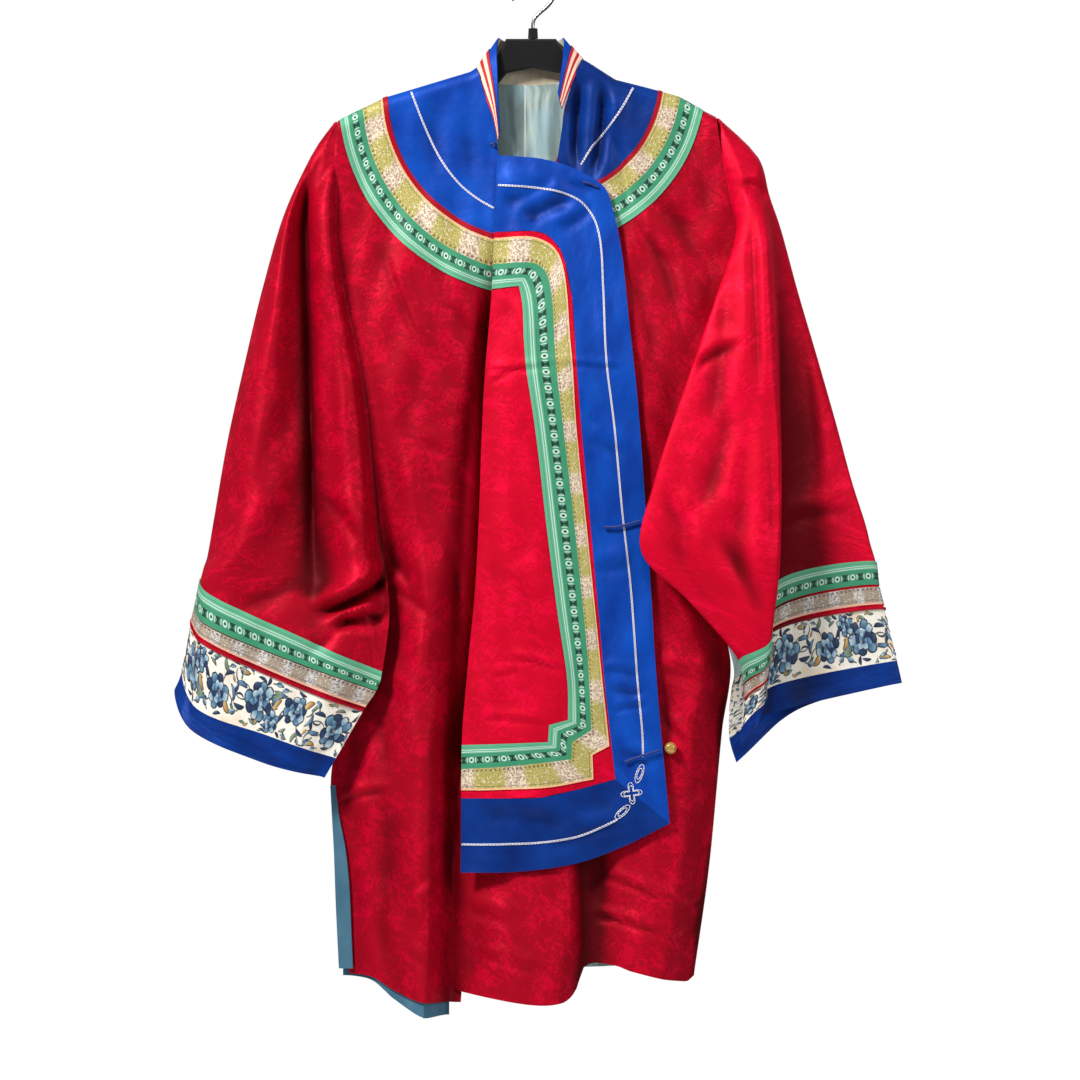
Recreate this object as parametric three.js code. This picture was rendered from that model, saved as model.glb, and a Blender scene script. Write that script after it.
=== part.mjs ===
// Silk robe with a side-fastening flap, hung on a black hanger.
// Millimetres, +Z up, the front faces -Y. The origin is the inside top of the hanger's hook, so every
// height below is given as "down", the distance under that point. The wearer's right is at -X.
import * as THREE from "three";

// Driving sizes
const CLOTH = 1.6; // a lined, sewn silk wall
const RIBBON = 1.0; // woven ribbon and brocade
const LIFT = 1; // clearance under a piece that lies on a panel
const SEAM = 0.5; // half of the clearance at a seam
const SHOULDER_RADIUS = 10; // the fold of the cloth over the hanger's arm
const DEPTH_AT_SHOULDER = 10; // how far the front stands out just below the shoulder
const DEPTH_GAIN_FRONT = 20; // and how much more it stands out further down
const DEPTH_GAIN_BACK = 10;
const DEPTH_GROWS_FROM = 170;
const DEPTH_GROWS_OVER = 260;
const FLAP_STANDS_OUT = 8; // the flap lies this far in front of the under front
const SEAM_ROLL = 30; // the cloth rolls into the centre seam over this width
const UNDERLAP_ROLL = 70; // the under front falls back towards its hidden edge over this width
const UNDERLAP_DEPTH = 6;
const YOKE_X = -2; // centre of the round yoke
const YOKE_DOWN = 120;
const HANGER_THICK = 8;
const HANGER_BEVEL = 2;
const HOOK_WIRE = 3.6;
const HOOK_INSIDE = 20; // inside radius of the hook
const BUTTON = 12;
const LOOP_CORD = 2.6;

// Small helpers
const clamp = (value, low, high) => Math.min(high, Math.max(low, value));
const mix = (a, b, share) => a + (b - a) * share;
const smooth = (share) => clamp(share, 0, 1) ** 2 * (3 - 2 * clamp(share, 0, 1));
const quarterRound = (share) => Math.sqrt(1 - (1 - clamp(share, 0, 1)) ** 2);
const evenly = (count) => Array.from({ length: count + 1 }, (_, i) => i / count);
const steps = (count, first = 0, last = 1) => evenly(count).map((share) => mix(first, last, share));
const place = (x, down, y) => new THREE.Vector3(x, y, -down);

function table(names, rows) {
  return rows.map((row) => Object.fromEntries(names.map((name, i) => [name, row[i]])));
}

// A smooth curve through one column of a table, read against another column.
function curveOf(rows, from, to) {
  const at = rows.map((row) => row[from]);
  const value = rows.map((row) => row[to]);
  const last = at.length - 1;
  const slope = at.map((_, i) => {
    const before = Math.max(0, i - 1);
    const after = Math.min(last, i + 1);
    return (value[after] - value[before]) / (at[after] - at[before]);
  });
  return (place) => {
    const p = clamp(place, at[0], at[last]);
    let i = 0;
    while (i < last - 1 && p > at[i + 1]) i += 1;
    const width = at[i + 1] - at[i];
    const s = (p - at[i]) / width;
    const rise = value[i + 1] - value[i];
    const bend = (slope[i] + slope[i + 1]) * width - 2 * rise;
    const square = 3 * rise - (2 * slope[i] + slope[i + 1]) * width;
    return value[i] + s * (width * slope[i] + s * (square + s * bend));
  };
}

// Straight runs between the rows, for lines with corners.
function runOf(rows, from, to) {
  return (place) => {
    const last = rows.length - 1;
    const p = clamp(place, rows[0][from], rows[last][from]);
    let i = 0;
    while (i < last - 1 && p > rows[i + 1][from]) i += 1;
    return mix(rows[i][to], rows[i + 1][to], (p - rows[i][from]) / (rows[i + 1][from] - rows[i][from]));
  };
}

// The shoulder line: the ridge of the cloth over the hanger, and the neck between its two sides.
const shoulder = table(["x", "down"], [
  [-195, 151], [-148, 128], [-62, 102], [-30, 80], [0, 72], [30, 80], [54, 92],
  [82, 110], [102, 115], [125, 121], [146, 127], [171, 141], [183, 147],
]);
const shoulderDown = runOf(shoulder, "x", "down");

// The wearer's right edge of the body: armhole down to the underarm, then the side seam to the hem.
// front and back are how far the two sheets stand out there, and roll is the width they turn in over.
const rightEdge = table(["down", "x", "front", "back", "roll"], [
  [151, -195, 14, 10, 30], [230, -195, 16, 12, 30], [278, -195, 18, 13, 30], [357, -179, 20, 14, 30],
  [430, -165, 21, 14, 30], [489, -159, 20, 12, 34], [548, -153, 16, 6, 38], [594, -151, 8, -3.6, 46],
  [690, -176, 4, 0.4, 70], [807, -202, 2.5, 2, 60], [881, -191, 2.5, 2, 50], [1010, -183, 2.5, 2, 40],
]);
const rightX = curveOf(rightEdge, "down", "x");

// The wearer's left edge of the body, its armhole hidden behind the sleeve's long front fold.
const leftEdge = table(["down", "x", "front", "back", "roll"], [
  [147, 183, 14, 10, 26], [190, 189, 16, 11, 26], [230, 197, 17, 12, 26], [262, 204, 16, 13, 26],
  [320, 203, 19, 13, 28], [403, 192, 21, 13, 30], [480, 179, 21, 11, 32], [548, 171, 17, 4, 34],
  [590, 167, 9, -4.6, 36], [687, 197, 4, 0.4, 34], [761, 189, 2.5, 2, 34], [897, 176, 2.5, 2, 34],
  [1004, 161, 2.5, 2, 34],
]);
const leftX = curveOf(leftEdge, "down", "x");

// The centre seam, where the wearer's right front meets the flap and both roll inwards.
const centreSeam = table(["down", "x", "depth"], [
  [186, -36, 13], [318, -41, 22], [406, -48, 27], [464, -51, 28], [550, -54, 28], [623, -58, 28],
  [696, -65, 27], [775, -71, 26], [901, -72, 24], [1032, -79, 13],
]);
const seamX = curveOf(centreSeam, "down", "x");
const seamDepth = curveOf(centreSeam, "down", "depth");

// The under front's own edge: neck, then the hidden edge behind the flap.
const underEdge = table(["down", "x"], [
  [92, 54], [115, 42], [138, 32], [193, 22], [230, -13], [300, -31], [430, -41], [700, -56], [901, -88],
  [1020, -96],
]);
const underX = curveOf(underEdge, "down", "x");

// Folds: a soft ridge (or trough, where rise is negative) along a line, with a width to each side.
const foldColumns = ["x0", "down0", "x1", "down1", "toRight", "toLeft", "rise", "fadeIn", "fadeOut"];
const rightFrontFolds = table(foldColumns, [
  [-112, 420, -106, 1040, 26, 20, 22, 500, 0],
  [-150, 620, -148, 1040, 12, 14, -7, 300, 0],
  [-128, 215, -112, 430, 24, 24, 5, 90, 120],
  [-58, 380, -84, 960, 12, 10, -13, 200, 60],
]);
const underFrontFolds = table(foldColumns, [
  [30, 850, 22, 1040, 52, 16, 12, 140, 0],
  [62, 760, 60, 1040, 14, 26, -12, 160, 0],
  [112, 830, 118, 1040, 22, 26, 7, 120, 0],
  [132, 226, 178, 312, 15, 15, -6, 30, 30],
  [50, 118, 44, 196, 13, 13, -3, 30, 30],
]);
const flapFolds = table(foldColumns, [
  [8, 300, -2, 880, 40, 44, 4, 160, 60],
]);
const backFolds = table(foldColumns, [
  [-90, 420, -104, 1040, 34, 34, 12, 300, 0],
  [20, 380, 12, 1040, 40, 40, 10, 300, 0],
  [112, 420, 118, 1040, 32, 32, 12, 300, 0],
  [-40, 420, -46, 1040, 22, 22, -6, 300, 0],
]);

function riseOf(folds, x, down) {
  return folds.reduce((sum, fold) => {
    if (down < fold.down0 || down > fold.down1) return sum;
    const share = (down - fold.down0) / (fold.down1 - fold.down0);
    const offset = x - mix(fold.x0, fold.x1, share);
    const reach = offset < 0 ? fold.toRight : fold.toLeft;
    const fadeIn = fold.fadeIn ? smooth((down - fold.down0) / fold.fadeIn) : 1;
    const fadeOut = fold.fadeOut ? smooth((fold.down1 - down) / fold.fadeOut) : 1;
    return sum + fold.rise * fadeIn * fadeOut * Math.exp(-((offset / reach) ** 2));
  }, 0);
}

const fullDepth = (down, gain) => (
  DEPTH_AT_SHOULDER + gain * smooth((down - DEPTH_GROWS_FROM) / DEPTH_GROWS_OVER)
);
const overShoulder = (x, down) => Math.max(0.06, quarterRound((down - shoulderDown(x)) / SHOULDER_RADIUS));

// Depth of a body sheet between its two edges: 'side' names the depth column of the edge tables.
function bodyDepth(x, down, side, full) {
  const fromRight = (x - rightX(down)) / curveOf(rightEdge, "down", "roll")(down);
  const fromLeft = (leftX(down) - x) / curveOf(leftEdge, "down", "roll")(down);
  const atRight = mix(curveOf(rightEdge, "down", side)(down), full, smooth(fromRight));
  const atLeft = mix(curveOf(leftEdge, "down", side)(down), full, smooth(fromLeft));
  return x < 0 ? atRight : atLeft;
}

function rightFrontY(x, down) {
  const full = fullDepth(down, DEPTH_GAIN_FRONT) + riseOf(rightFrontFolds, x, down);
  const intoSeam = smooth((seamX(down) - x) / SEAM_ROLL);
  return -mix(seamDepth(down), bodyDepth(x, down, "front", full), intoSeam) * overShoulder(x, down);
}

function underFrontY(x, down) {
  const full = fullDepth(down, DEPTH_GAIN_FRONT) + riseOf(underFrontFolds, x, down);
  const fromEdge = down < 230 ? 1 : smooth((x - underX(down)) / UNDERLAP_ROLL);
  const ease = smooth((down - 200) / 60);
  const depth = bodyDepth(x, down, "front", full);
  return -mix(depth, mix(UNDERLAP_DEPTH, depth, fromEdge), ease) * overShoulder(x, down);
}

function flapY(x, down) {
  const full = fullDepth(down, DEPTH_GAIN_FRONT) + FLAP_STANDS_OUT + riseOf(flapFolds, x, down);
  return -mix(seamDepth(down), full, smooth((x - seamX(down)) / SEAM_ROLL));
}

function backY(x, down) {
  const full = fullDepth(down, DEPTH_GAIN_BACK) + riseOf(backFolds, x, down);
  return bodyDepth(x, down, "back", full) * overShoulder(x, down);
}

// A closed wall from a grid of points: it reaches 'inwards' behind the grid and 'outwards' before it.
// 'facing' is the side that the outer face looks to, and 'turn' says it where a sheet bends right round.
function wall(grid, { inwards = CLOTH, outwards = 0, facing = null, turn = 1, surfaceNormals = null }) {
  const rows = grid.length;
  const columns = grid[0].length;
  const across = (r, c) => {
    const from = grid[r][Math.max(0, c - 1)];
    return new THREE.Vector3().subVectors(grid[r][Math.min(columns - 1, c + 1)], from);
  };
  const along = (r, c) => {
    const from = grid[Math.max(0, r - 1)][c];
    return new THREE.Vector3().subVectors(grid[Math.min(rows - 1, r + 1)][c], from);
  };
  const normals = surfaceNormals ?? grid.map((row, r) => row.map((_, c) => (
    across(r, c).cross(along(r, c)).normalize()
  )));
  let sign = turn;
  if (facing) {
    const sum = normals.flat().reduce((total, normal) => total + normal.dot(facing), 0);
    sign = Math.sign(sum);
  }
  const moved = (distance) => grid.map((row, r) => row.map((point, c) => (
    point.clone().addScaledVector(normals[r][c], sign * distance)
  )));
  const outer = moved(outwards);
  const inner = moved(-inwards);
  const positions = [...outer.flat(), ...inner.flat()].flatMap((point) => [point.x, point.y, point.z]);
  const at = (r, c) => r * columns + c;
  const behind = rows * columns;
  const faces = [];
  const quad = (a, b, c, d) => (sign > 0 ? faces.push(a, b, c, a, c, d) : faces.push(a, c, b, a, d, c));
  for (let r = 0; r < rows - 1; r += 1) {
    for (let c = 0; c < columns - 1; c += 1) {
      quad(at(r, c), at(r, c + 1), at(r + 1, c + 1), at(r + 1, c));
      quad(behind + at(r, c), behind + at(r + 1, c), behind + at(r + 1, c + 1), behind + at(r, c + 1));
    }
    quad(at(r, 0), at(r + 1, 0), behind + at(r + 1, 0), behind + at(r, 0));
    const end = columns - 1;
    quad(at(r, end), behind + at(r, end), behind + at(r + 1, end), at(r + 1, end));
  }
  for (let c = 0; c < columns - 1; c += 1) {
    const end = rows - 1;
    quad(at(0, c), behind + at(0, c), behind + at(0, c + 1), at(0, c + 1));
    quad(at(end, c), at(end, c + 1), behind + at(end, c + 1), behind + at(end, c));
  }
  const geometry = new THREE.BufferGeometry();
  geometry.setAttribute("position", new THREE.Float32BufferAttribute(positions, 3));
  geometry.setIndex(faces);
  geometry.computeVertexNormals();
  return geometry;
}

const FRONT = new THREE.Vector3(0, -1, 0);
const BACK = new THREE.Vector3(0, 1, 0);

// A panel between a left and a right line (functions of down) and a top and a hem line (functions of x).
// Its columns are named by their x on the top line.
function panelGrid({ from, to, top, hem, columns, levels, cap = [0], depth }) {
  const shares = columns.map((x) => clamp((x - from(top(x))) / (to(top(x)) - from(top(x))), 0, 1));
  const meet = (share, start, line) => {
    let down = start;
    for (let turn = 0; turn < 12; turn += 1) down = line(mix(from(down), to(down), share));
    return down;
  };
  const starts = shares.map((share) => meet(share, 150, top));
  const ends = shares.map((share) => meet(share, 1000, hem));
  const rowAt = (downOf) => shares.map((share, c) => {
    const down = downOf(c);
    const x = mix(from(down), to(down), share);
    return place(x, down, depth(x, down));
  });
  const capRows = cap.map((offset) => rowAt((c) => starts[c] + offset));
  const below = cap[cap.length - 1];
  const restRows = levels.slice(1).map((level) => rowAt((c) => mix(starts[c] + below, ends[c], level)));
  return [...capRows, ...restRows];
}

// A strip ruled between two lines that lie on a surface.
function stripGrid(inner, outer, steps, columns, depth) {
  return steps.map((step) => evenly(columns).map((share) => {
    const a = inner(step);
    const b = outer(step);
    const x = mix(a[0], b[0], share);
    const down = mix(a[1], b[1], share);
    return place(x, down, depth(x, down));
  }));
}

// A line through listed points, read by its share of the way, point by point.
function pathOf(points) {
  return (share) => {
    const place = clamp(share, 0, 1) * (points.length - 1);
    const i = Math.min(points.length - 2, Math.floor(place));
    return [mix(points[i][0], points[i + 1][0], place - i), mix(points[i][1], points[i + 1][1], place - i)];
  };
}

const robe = new THREE.Group();
function add(name, geometry, color, roughness = 0.6, metalness = 0) {
  const mesh = new THREE.Mesh(geometry, new THREE.MeshStandardMaterial({ color, roughness, metalness }));
  mesh.name = name;
  robe.add(mesh);
}

const RED = 0xb8001c;
const BLUE = 0x1150c4;
const GREEN = 0x2f9b68;
const GOLD = 0xb59a55;
const SLATE = 0x3f6680;
const IVORY = 0xe8e0c8;
const TAUPE = 0x9a8f86;
const NAVY = 0x101c50;
const SILVER = 0xc9c9d8;
const BLACK = 0x0c0c0e;
const STEEL = 0xb9bcc0;
const BRASS = 0xb98d3e;

const shoulderCap = [0, 1.2, 4, 10];

// Front, wearer's right: from the shoulder and the neck to the hem, between the armhole and the centre seam.
const rightFrontTop = table(["x", "down"], [
  [-195, 151], [-148, 128], [-62, 102], [-50, 134], [-37, 164], [-36, 186],
]);
const rightFrontHem = table(["x", "down"], [
  [-183, 1005], [-159, 1007], [-137, 1016], [-110, 1031], [-79, 1032],
]);
const rightFrontColumns = [-195, -186, -174, -161, -148, -133, -118, -103, -89, -75, -62, -56, -50, -43, -36];
add("front_right", wall(panelGrid({
  from: (down) => rightX(down) + SEAM,
  to: (down) => seamX(down) - SEAM,
  top: runOf(rightFrontTop, "x", "down"),
  hem: curveOf(rightFrontHem, "x", "down"),
  columns: rightFrontColumns,
  levels: evenly(17),
  cap: shoulderCap,
  depth: rightFrontY,
}), { facing: FRONT }), RED);

// Front, wearer's left, under the flap.
const underFrontTop = shoulder.filter((row) => row.x >= 54);
const underFrontHem = table(["x", "down"], [
  [-96, 1016], [-8, 1032], [28, 1031], [42, 1020], [52, 995], [81, 994], [99, 1000], [153, 1011], [161, 1005],
]);
add("front_left", wall(panelGrid({
  from: (down) => underX(down),
  to: (down) => leftX(down) - SEAM,
  top: runOf(underFrontTop, "x", "down"),
  hem: curveOf(underFrontHem, "x", "down"),
  columns: [54, 64, 73, 82, 92, 102, 113, 125, 136, 146, 158, 171, 183],
  levels: evenly(17),
  cap: shoulderCap,
  depth: underFrontY,
}), { facing: FRONT }), RED);

// Back, one width from armhole to armhole. Below the slit it stands back from the front's edge.
const SLIT_SETBACK = 9;
const backTop = table(["x", "down"], [
  [-195, 151], [-148, 128], [-62, 102], [-50, 110], [-30, 114], [0, 115], [25, 113], [44, 105], [54, 92],
  [82, 110], [102, 115], [125, 121], [146, 127], [171, 141], [183, 147],
]);
const backHem = table(["x", "down"], [[-179, 1000], [-100, 1006], [0, 1000], [100, 996], [161, 990]]);
add("back", wall(panelGrid({
  from: (down) => rightX(down) + SEAM + SLIT_SETBACK * smooth((down - 770) / 40),
  to: (down) => leftX(down) - SEAM,
  top: runOf(backTop, "x", "down"),
  hem: curveOf(backHem, "x", "down"),
  columns: [-195, -173, -148, -120, -90, -62, -50, -30, 0, 25, 44, 54, 82, 102, 125, 146, 171, 183],
  levels: evenly(15),
  cap: shoulderCap,
  depth: backY,
}), { facing: BACK }), RED);

// Facing that peeks out behind the wearer's right front at the side slit and the hem.
const facingSide = table(["down", "inner", "outer"], [
  [815, -197, -202.6], [845, -193, -201], [881, -186, -199], [936, -182, -197], [998, -179, -194],
]);
const facingInner = curveOf(facingSide, "down", "inner");
const facingOuter = curveOf(facingSide, "down", "outer");
const facingY = (x, down) => rightFrontY(Math.max(x, rightX(down) + 1), Math.min(down, 1030));
const BEHIND = 1.6; // clearance of the facing behind the front
const behindFront = { facing: FRONT, outwards: -CLOTH - BEHIND, inwards: CLOTH + BEHIND + RIBBON };
add("facing_slit", wall([815, 845, 881, 936, 998].map((down) => evenly(2).map((share) => {
  const x = mix(facingInner(down), facingOuter(down), share);
  return place(x, down, facingY(x, down));
})), { ...behindFront, outwards: -CLOTH - 0.7 }), SLATE);
const hemFacing = table(["x", "drop"], [[-193, 2], [-168, 2.5], [-135, 9], [-104, 16], [-84, 14]]);
const hemLine = curveOf(rightFrontHem, "x", "down");
const hemFacingColumns = [-190, -178, -166, -152, -140, -130, -120, -110, -102, -94, -87, -82];
add("facing_hem", wall(hemFacingColumns.map((x) => [-6, curveOf(hemFacing, "x", "drop")(x)].map((past) => {
  const down = hemLine(x) + past;
  return place(x, down, facingY(x, down));
})), behindFront), SLATE);

// Sleeves. Each is a sheet through fold lines: every section names where those lines stand, as x, down and
// y. Sections run from the shoulder to the cuff's rim, and the cuff's pieces are later sections.
function sectionPoint(sections, names, at) {
  const last = sections.length - 1;
  const i = clamp(Math.floor(at), 0, last - 1);
  const s = at - i;
  return names.map((name) => [0, 1, 2].map((axis) => {
    const v = [-1, 0, 1, 2].map((step) => sections[clamp(i + step, 0, last)][name][axis]);
    const slopeA = (v[2] - v[0]) / 2;
    const slopeB = (v[3] - v[1]) / 2;
    const rise = v[2] - v[1];
    return v[1] + s * (slopeA + s * (3 * rise - 2 * slopeA - slopeB + s * (slopeA + slopeB - 2 * rise)));
  }));
}

// One ring of a sleeve: a smooth line through its fold points, with the sharp folds rounded off.
// Down to the underarm its first and last points follow the body's armhole.
function ringAt({ sections, names, folds, steps, underarm, armhole }, at) {
  const marks = sectionPoint(sections, names, at);
  if (at >= 1 && at <= underarm) {
    marks[0] = armhole(marks[0][1], 1);
    marks[marks.length - 1] = armhole(marks[marks.length - 1][1], -1);
  }
  const points = marks.map(([x, down, y]) => place(x, down, y));
  const rounded = [];
  points.forEach((point, i) => {
    const radius = folds[names[i]] ?? 0;
    if (!radius) {
      rounded.push(point);
      return;
    }
    [points[i - 1], points[i + 1]].forEach((other) => {
      const reach = Math.min(radius, point.distanceTo(other) * 0.35);
      rounded.push(point.clone().add(new THREE.Vector3().subVectors(other, point).setLength(reach)));
    });
  });
  const curve = new THREE.CatmullRomCurve3(rounded, false, "centripetal");
  const ring = [];
  rounded.slice(0, -1).forEach((_, i) => {
    for (let k = 0; k < steps[i]; k += 1) {
      ring.push(curve.getPoint((i + k / steps[i]) / (rounded.length - 1)));
    }
  });
  ring.push(rounded[rounded.length - 1].clone());
  return ring;
}

// The sleeve's own normals, so that pieces that meet at a seam are cut square to the same surface. Where the
// underarm seam closes the sleeve, both of its edges share one direction.
const NEARBY = 0.04;
function sleeveNormals(sleeve, stations, free) {
  const last = sleeve.sections.length - 1;
  return stations.map((at) => {
    const ring = ringAt(sleeve, at);
    const before = ringAt(sleeve, Math.max(0, at - NEARBY));
    const after = ringAt(sleeve, Math.min(last, at + NEARBY));
    const end = ring.length - 1;
    const step = (a, b) => new THREE.Vector3().subVectors(ring[b], ring[a]).normalize();
    return ring.map((_, c) => {
      const atSeam = at >= free && (c === 0 || c === end);
      const across = atSeam
        ? step(0, 1).add(step(end - 1, end))
        : step(Math.max(0, c - 1), Math.min(end, c + 1));
      return across.cross(new THREE.Vector3().subVectors(after[c], before[c])).normalize();
    });
  });
}

// Wearer's right sleeve: inner edge, front ridge, deep valley, outer ridge, outer fold, back.
const ARMHOLE = 0.8; // clearance of the sleeve at the armhole, beside the body's own
const onRight = (down, side) => {
  const x = rightX(down);
  return [x - ARMHOLE, down, side > 0 ? rightFrontY(x, down) : backY(x, down)];
};
const rightSleeve = {
  names: ["front", "ridge", "valley", "crest", "fold", "behind", "back"],
  folds: { fold: 7 },
  underarm: 6,
  armhole: onRight,
  steps: [2, 2, 3, 2, 1, 2, 2],
  sections: [
    { front: [-195.5, 152, -3], ridge: [-196.4, 152, -3], valley: [-197.4, 152, -2.6],
      crest: [-198.4, 152.4, -1.8], fold: [-199, 153, 0], behind: [-197.4, 152, 2.6], back: [-195.5, 152, 3] },
    { front: onRight(185, 1), ridge: [-203, 185, -17], valley: [-210, 185, -17], crest: [-217, 185, -14],
      fold: [-223, 185, -1], behind: [-210, 185, 12], back: onRight(185, -1) },
    { front: onRight(246, 1), ridge: [-212, 246, -30], valley: [-229, 246, -20], crest: [-241, 246, -24],
      fold: [-251, 246, -2], behind: [-225, 246, 14], back: onRight(246, -1) },
    { front: onRight(318, 1), ridge: [-209, 318, -40], valley: [-228, 318, -23], crest: [-250, 318, -36],
      fold: [-273, 318, -3], behind: [-230, 318, 16], back: onRight(318, -1) },
    { front: onRight(387, 1), ridge: [-206, 387, -46], valley: [-227, 387, -26], crest: [-260, 387, -42],
      fold: [-290, 387, -3], behind: [-235, 387, 18], back: onRight(387, -1) },
    { front: onRight(470, 1), ridge: [-202, 470, -50], valley: [-225, 470, -30], crest: [-270, 470, -46],
      fold: [-309, 470, -4], behind: [-240, 470, 18], back: onRight(470, -1) },
    { front: onRight(548, 1), ridge: [-190, 548, -54], valley: [-219, 548, -34], crest: [-288, 546, -48],
      fold: [-323, 548, -4], behind: [-245, 548, 16], back: onRight(548, -1) },
    { front: [-155, 598, -20], ridge: [-184, 600, -54], valley: [-220, 598, -38], crest: [-302, 580, -46],
      fold: [-329, 585, -5], behind: [-248, 600, 12], back: [-156, 600, -14] },
    { front: [-146, 645, -34], ridge: [-186, 638, -42], valley: [-224, 628, -42], crest: [-314, 600, -44],
      fold: [-332, 597, -6], behind: [-250, 632, 6], back: [-147, 646, -20] },
    { front: [-150, 701, -36], ridge: [-192, 684, -46], valley: [-236, 664, -48], crest: [-324, 622, -42],
      fold: [-333, 606, -7], behind: [-240, 664, 4], back: [-151, 702, -21] },
    { front: [-156, 720, -36], ridge: [-196, 706, -46], valley: [-240, 690, -48], crest: [-328, 652, -42],
      fold: [-338, 630, -7], behind: [-244, 688, 3], back: [-157, 721, -21] },
    { front: [-169, 740, -36], ridge: [-206, 727, -46], valley: [-248, 710, -48], crest: [-331, 670, -42],
      fold: [-342, 646, -7], behind: [-250, 706, 2], back: [-170, 741, -21] },
    { front: [-196, 787, -36], ridge: [-228, 777, -46], valley: [-264, 764, -48], crest: [-336, 736, -42],
      fold: [-352, 694, -7], behind: [-264, 758, 2], back: [-197, 788, -21] },
    { front: [-207, 806, -36], ridge: [-238, 800, -46], valley: [-272, 790, -48], crest: [-342, 757, -42],
      fold: [-360, 714, -7], behind: [-270, 782, 2], back: [-208, 807, -21] },
  ],
};

// Wearer's left sleeve: it hangs with its under side swung forward, as a long fold with a lip.
const onLeft = (down, side) => {
  const x = leftX(down);
  return [x + ARMHOLE, down, side > 0 ? underFrontY(x, down) : backY(x, down)];
};
const leftSleeve = {
  names: ["front", "lip", "face", "ridge", "step", "fold", "behind", "back"],
  folds: { lip: 5, ridge: 5, fold: 7 },
  underarm: 7,
  armhole: onLeft,
  steps: [2, 1, 2, 3, 1, 2, 2, 1, 3, 2],
  sections: [
    { front: [183.5, 148.5, -3], lip: [184.2, 148.6, -3.2], face: [185, 148.8, -3], ridge: [185.8, 149, -2.4],
      step: [186.6, 149.2, -1.4], fold: [187.2, 149.6, 0], behind: [185.4, 149, 2.6], back: [183.5, 148.5, 3] },
    { front: onLeft(187, 1), lip: [194, 187, -18], face: [202, 187, -20], ridge: [212, 187, -18],
      step: [220, 187, -12], fold: [227, 187, -1], behind: [212, 187, 13], back: onLeft(187, -1) },
    { front: onLeft(226, 1), lip: [203, 226, -25], face: [212, 226, -31], ridge: [222, 226, -30],
      step: [231, 226, -19], fold: [239, 226, -2], behind: [222, 226, 15], back: onLeft(226, -1) },
    { front: onLeft(263, 1), lip: [202, 263, -34], face: [216, 262, -43], ridge: [230, 260, -44],
      step: [239, 262, -24], fold: [252, 263, -2], behind: [230, 263, 16], back: onLeft(263, -1) },
    { front: onLeft(322, 1), lip: [181, 322, -44], face: [208, 320, -53], ridge: [235, 320, -54],
      step: [245, 322, -28], fold: [269, 322, -3], behind: [238, 322, 17], back: onLeft(322, -1) },
    { front: onLeft(387, 1), lip: [158, 387, -50], face: [198, 386, -59], ridge: [239, 387, -62],
      step: [249, 387, -30], fold: [289, 387, -3], behind: [240, 387, 18], back: onLeft(387, -1) },
    { front: onLeft(452, 1), lip: [135, 453, -54], face: [188, 452, -63], ridge: [242, 452, -66],
      step: [251, 452, -32], fold: [308, 452, -4], behind: [245, 452, 18], back: onLeft(452, -1) },
    { front: onLeft(510, 1), lip: [117, 510, -56], face: [180, 510, -66], ridge: [244, 510, -70],
      step: [252, 507, -34], fold: [324, 510, -4], behind: [245, 510, 16], back: onLeft(510, -1) },
    { front: [171.5, 592, -27], lip: [103, 580, -56], face: [176, 576, -68], ridge: [244, 560, -72],
      step: [251, 540, -36], fold: [338, 554, -4], behind: [245, 560, 12], back: [173, 594, -20] },
    { front: [182, 640, -34], lip: [150, 629, -56], face: [200, 616, -68], ridge: [243, 606, -72],
      step: [248, 574, -36], fold: [343, 573, -5], behind: [250, 604, 8], back: [184, 642, -26] },
    { front: [206, 694, -36], lip: [205, 687, -52], face: [221, 680, -64], ridge: [236, 672, -66],
      step: [240, 613, -34], fold: [348, 590, -6], behind: [262, 642, 6], back: [200, 696, -22] },
    { front: [209, 716, -34], lip: [214, 708, -48], face: [225, 702, -59], ridge: [234, 694, -61],
      step: [238, 640, -34], fold: [351, 614, -6], behind: [264, 664, 5], back: [198, 720, -18] },
    { front: [210, 730, -32], lip: [218, 721, -46], face: [225, 716, -55], ridge: [232, 709, -57],
      step: [235, 664, -34], fold: [357, 637, -6], behind: [265, 682, 4], back: [196, 740, -15] },
    { front: [208, 756, -30], lip: [219, 742, -42], face: [224, 738, -49], ridge: [231, 732, -48],
      step: [234, 718, -31], fold: [370, 689, -6], behind: [266, 714, 3], back: [196, 768, -12] },
    { front: [206, 774, -28], lip: [217, 758, -40], face: [221, 755, -46], ridge: [226, 750, -48],
      step: [225, 746, -34], fold: [375, 711, -6], behind: [264, 740, 3], back: [203, 792, -10] },
  ],
};

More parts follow.
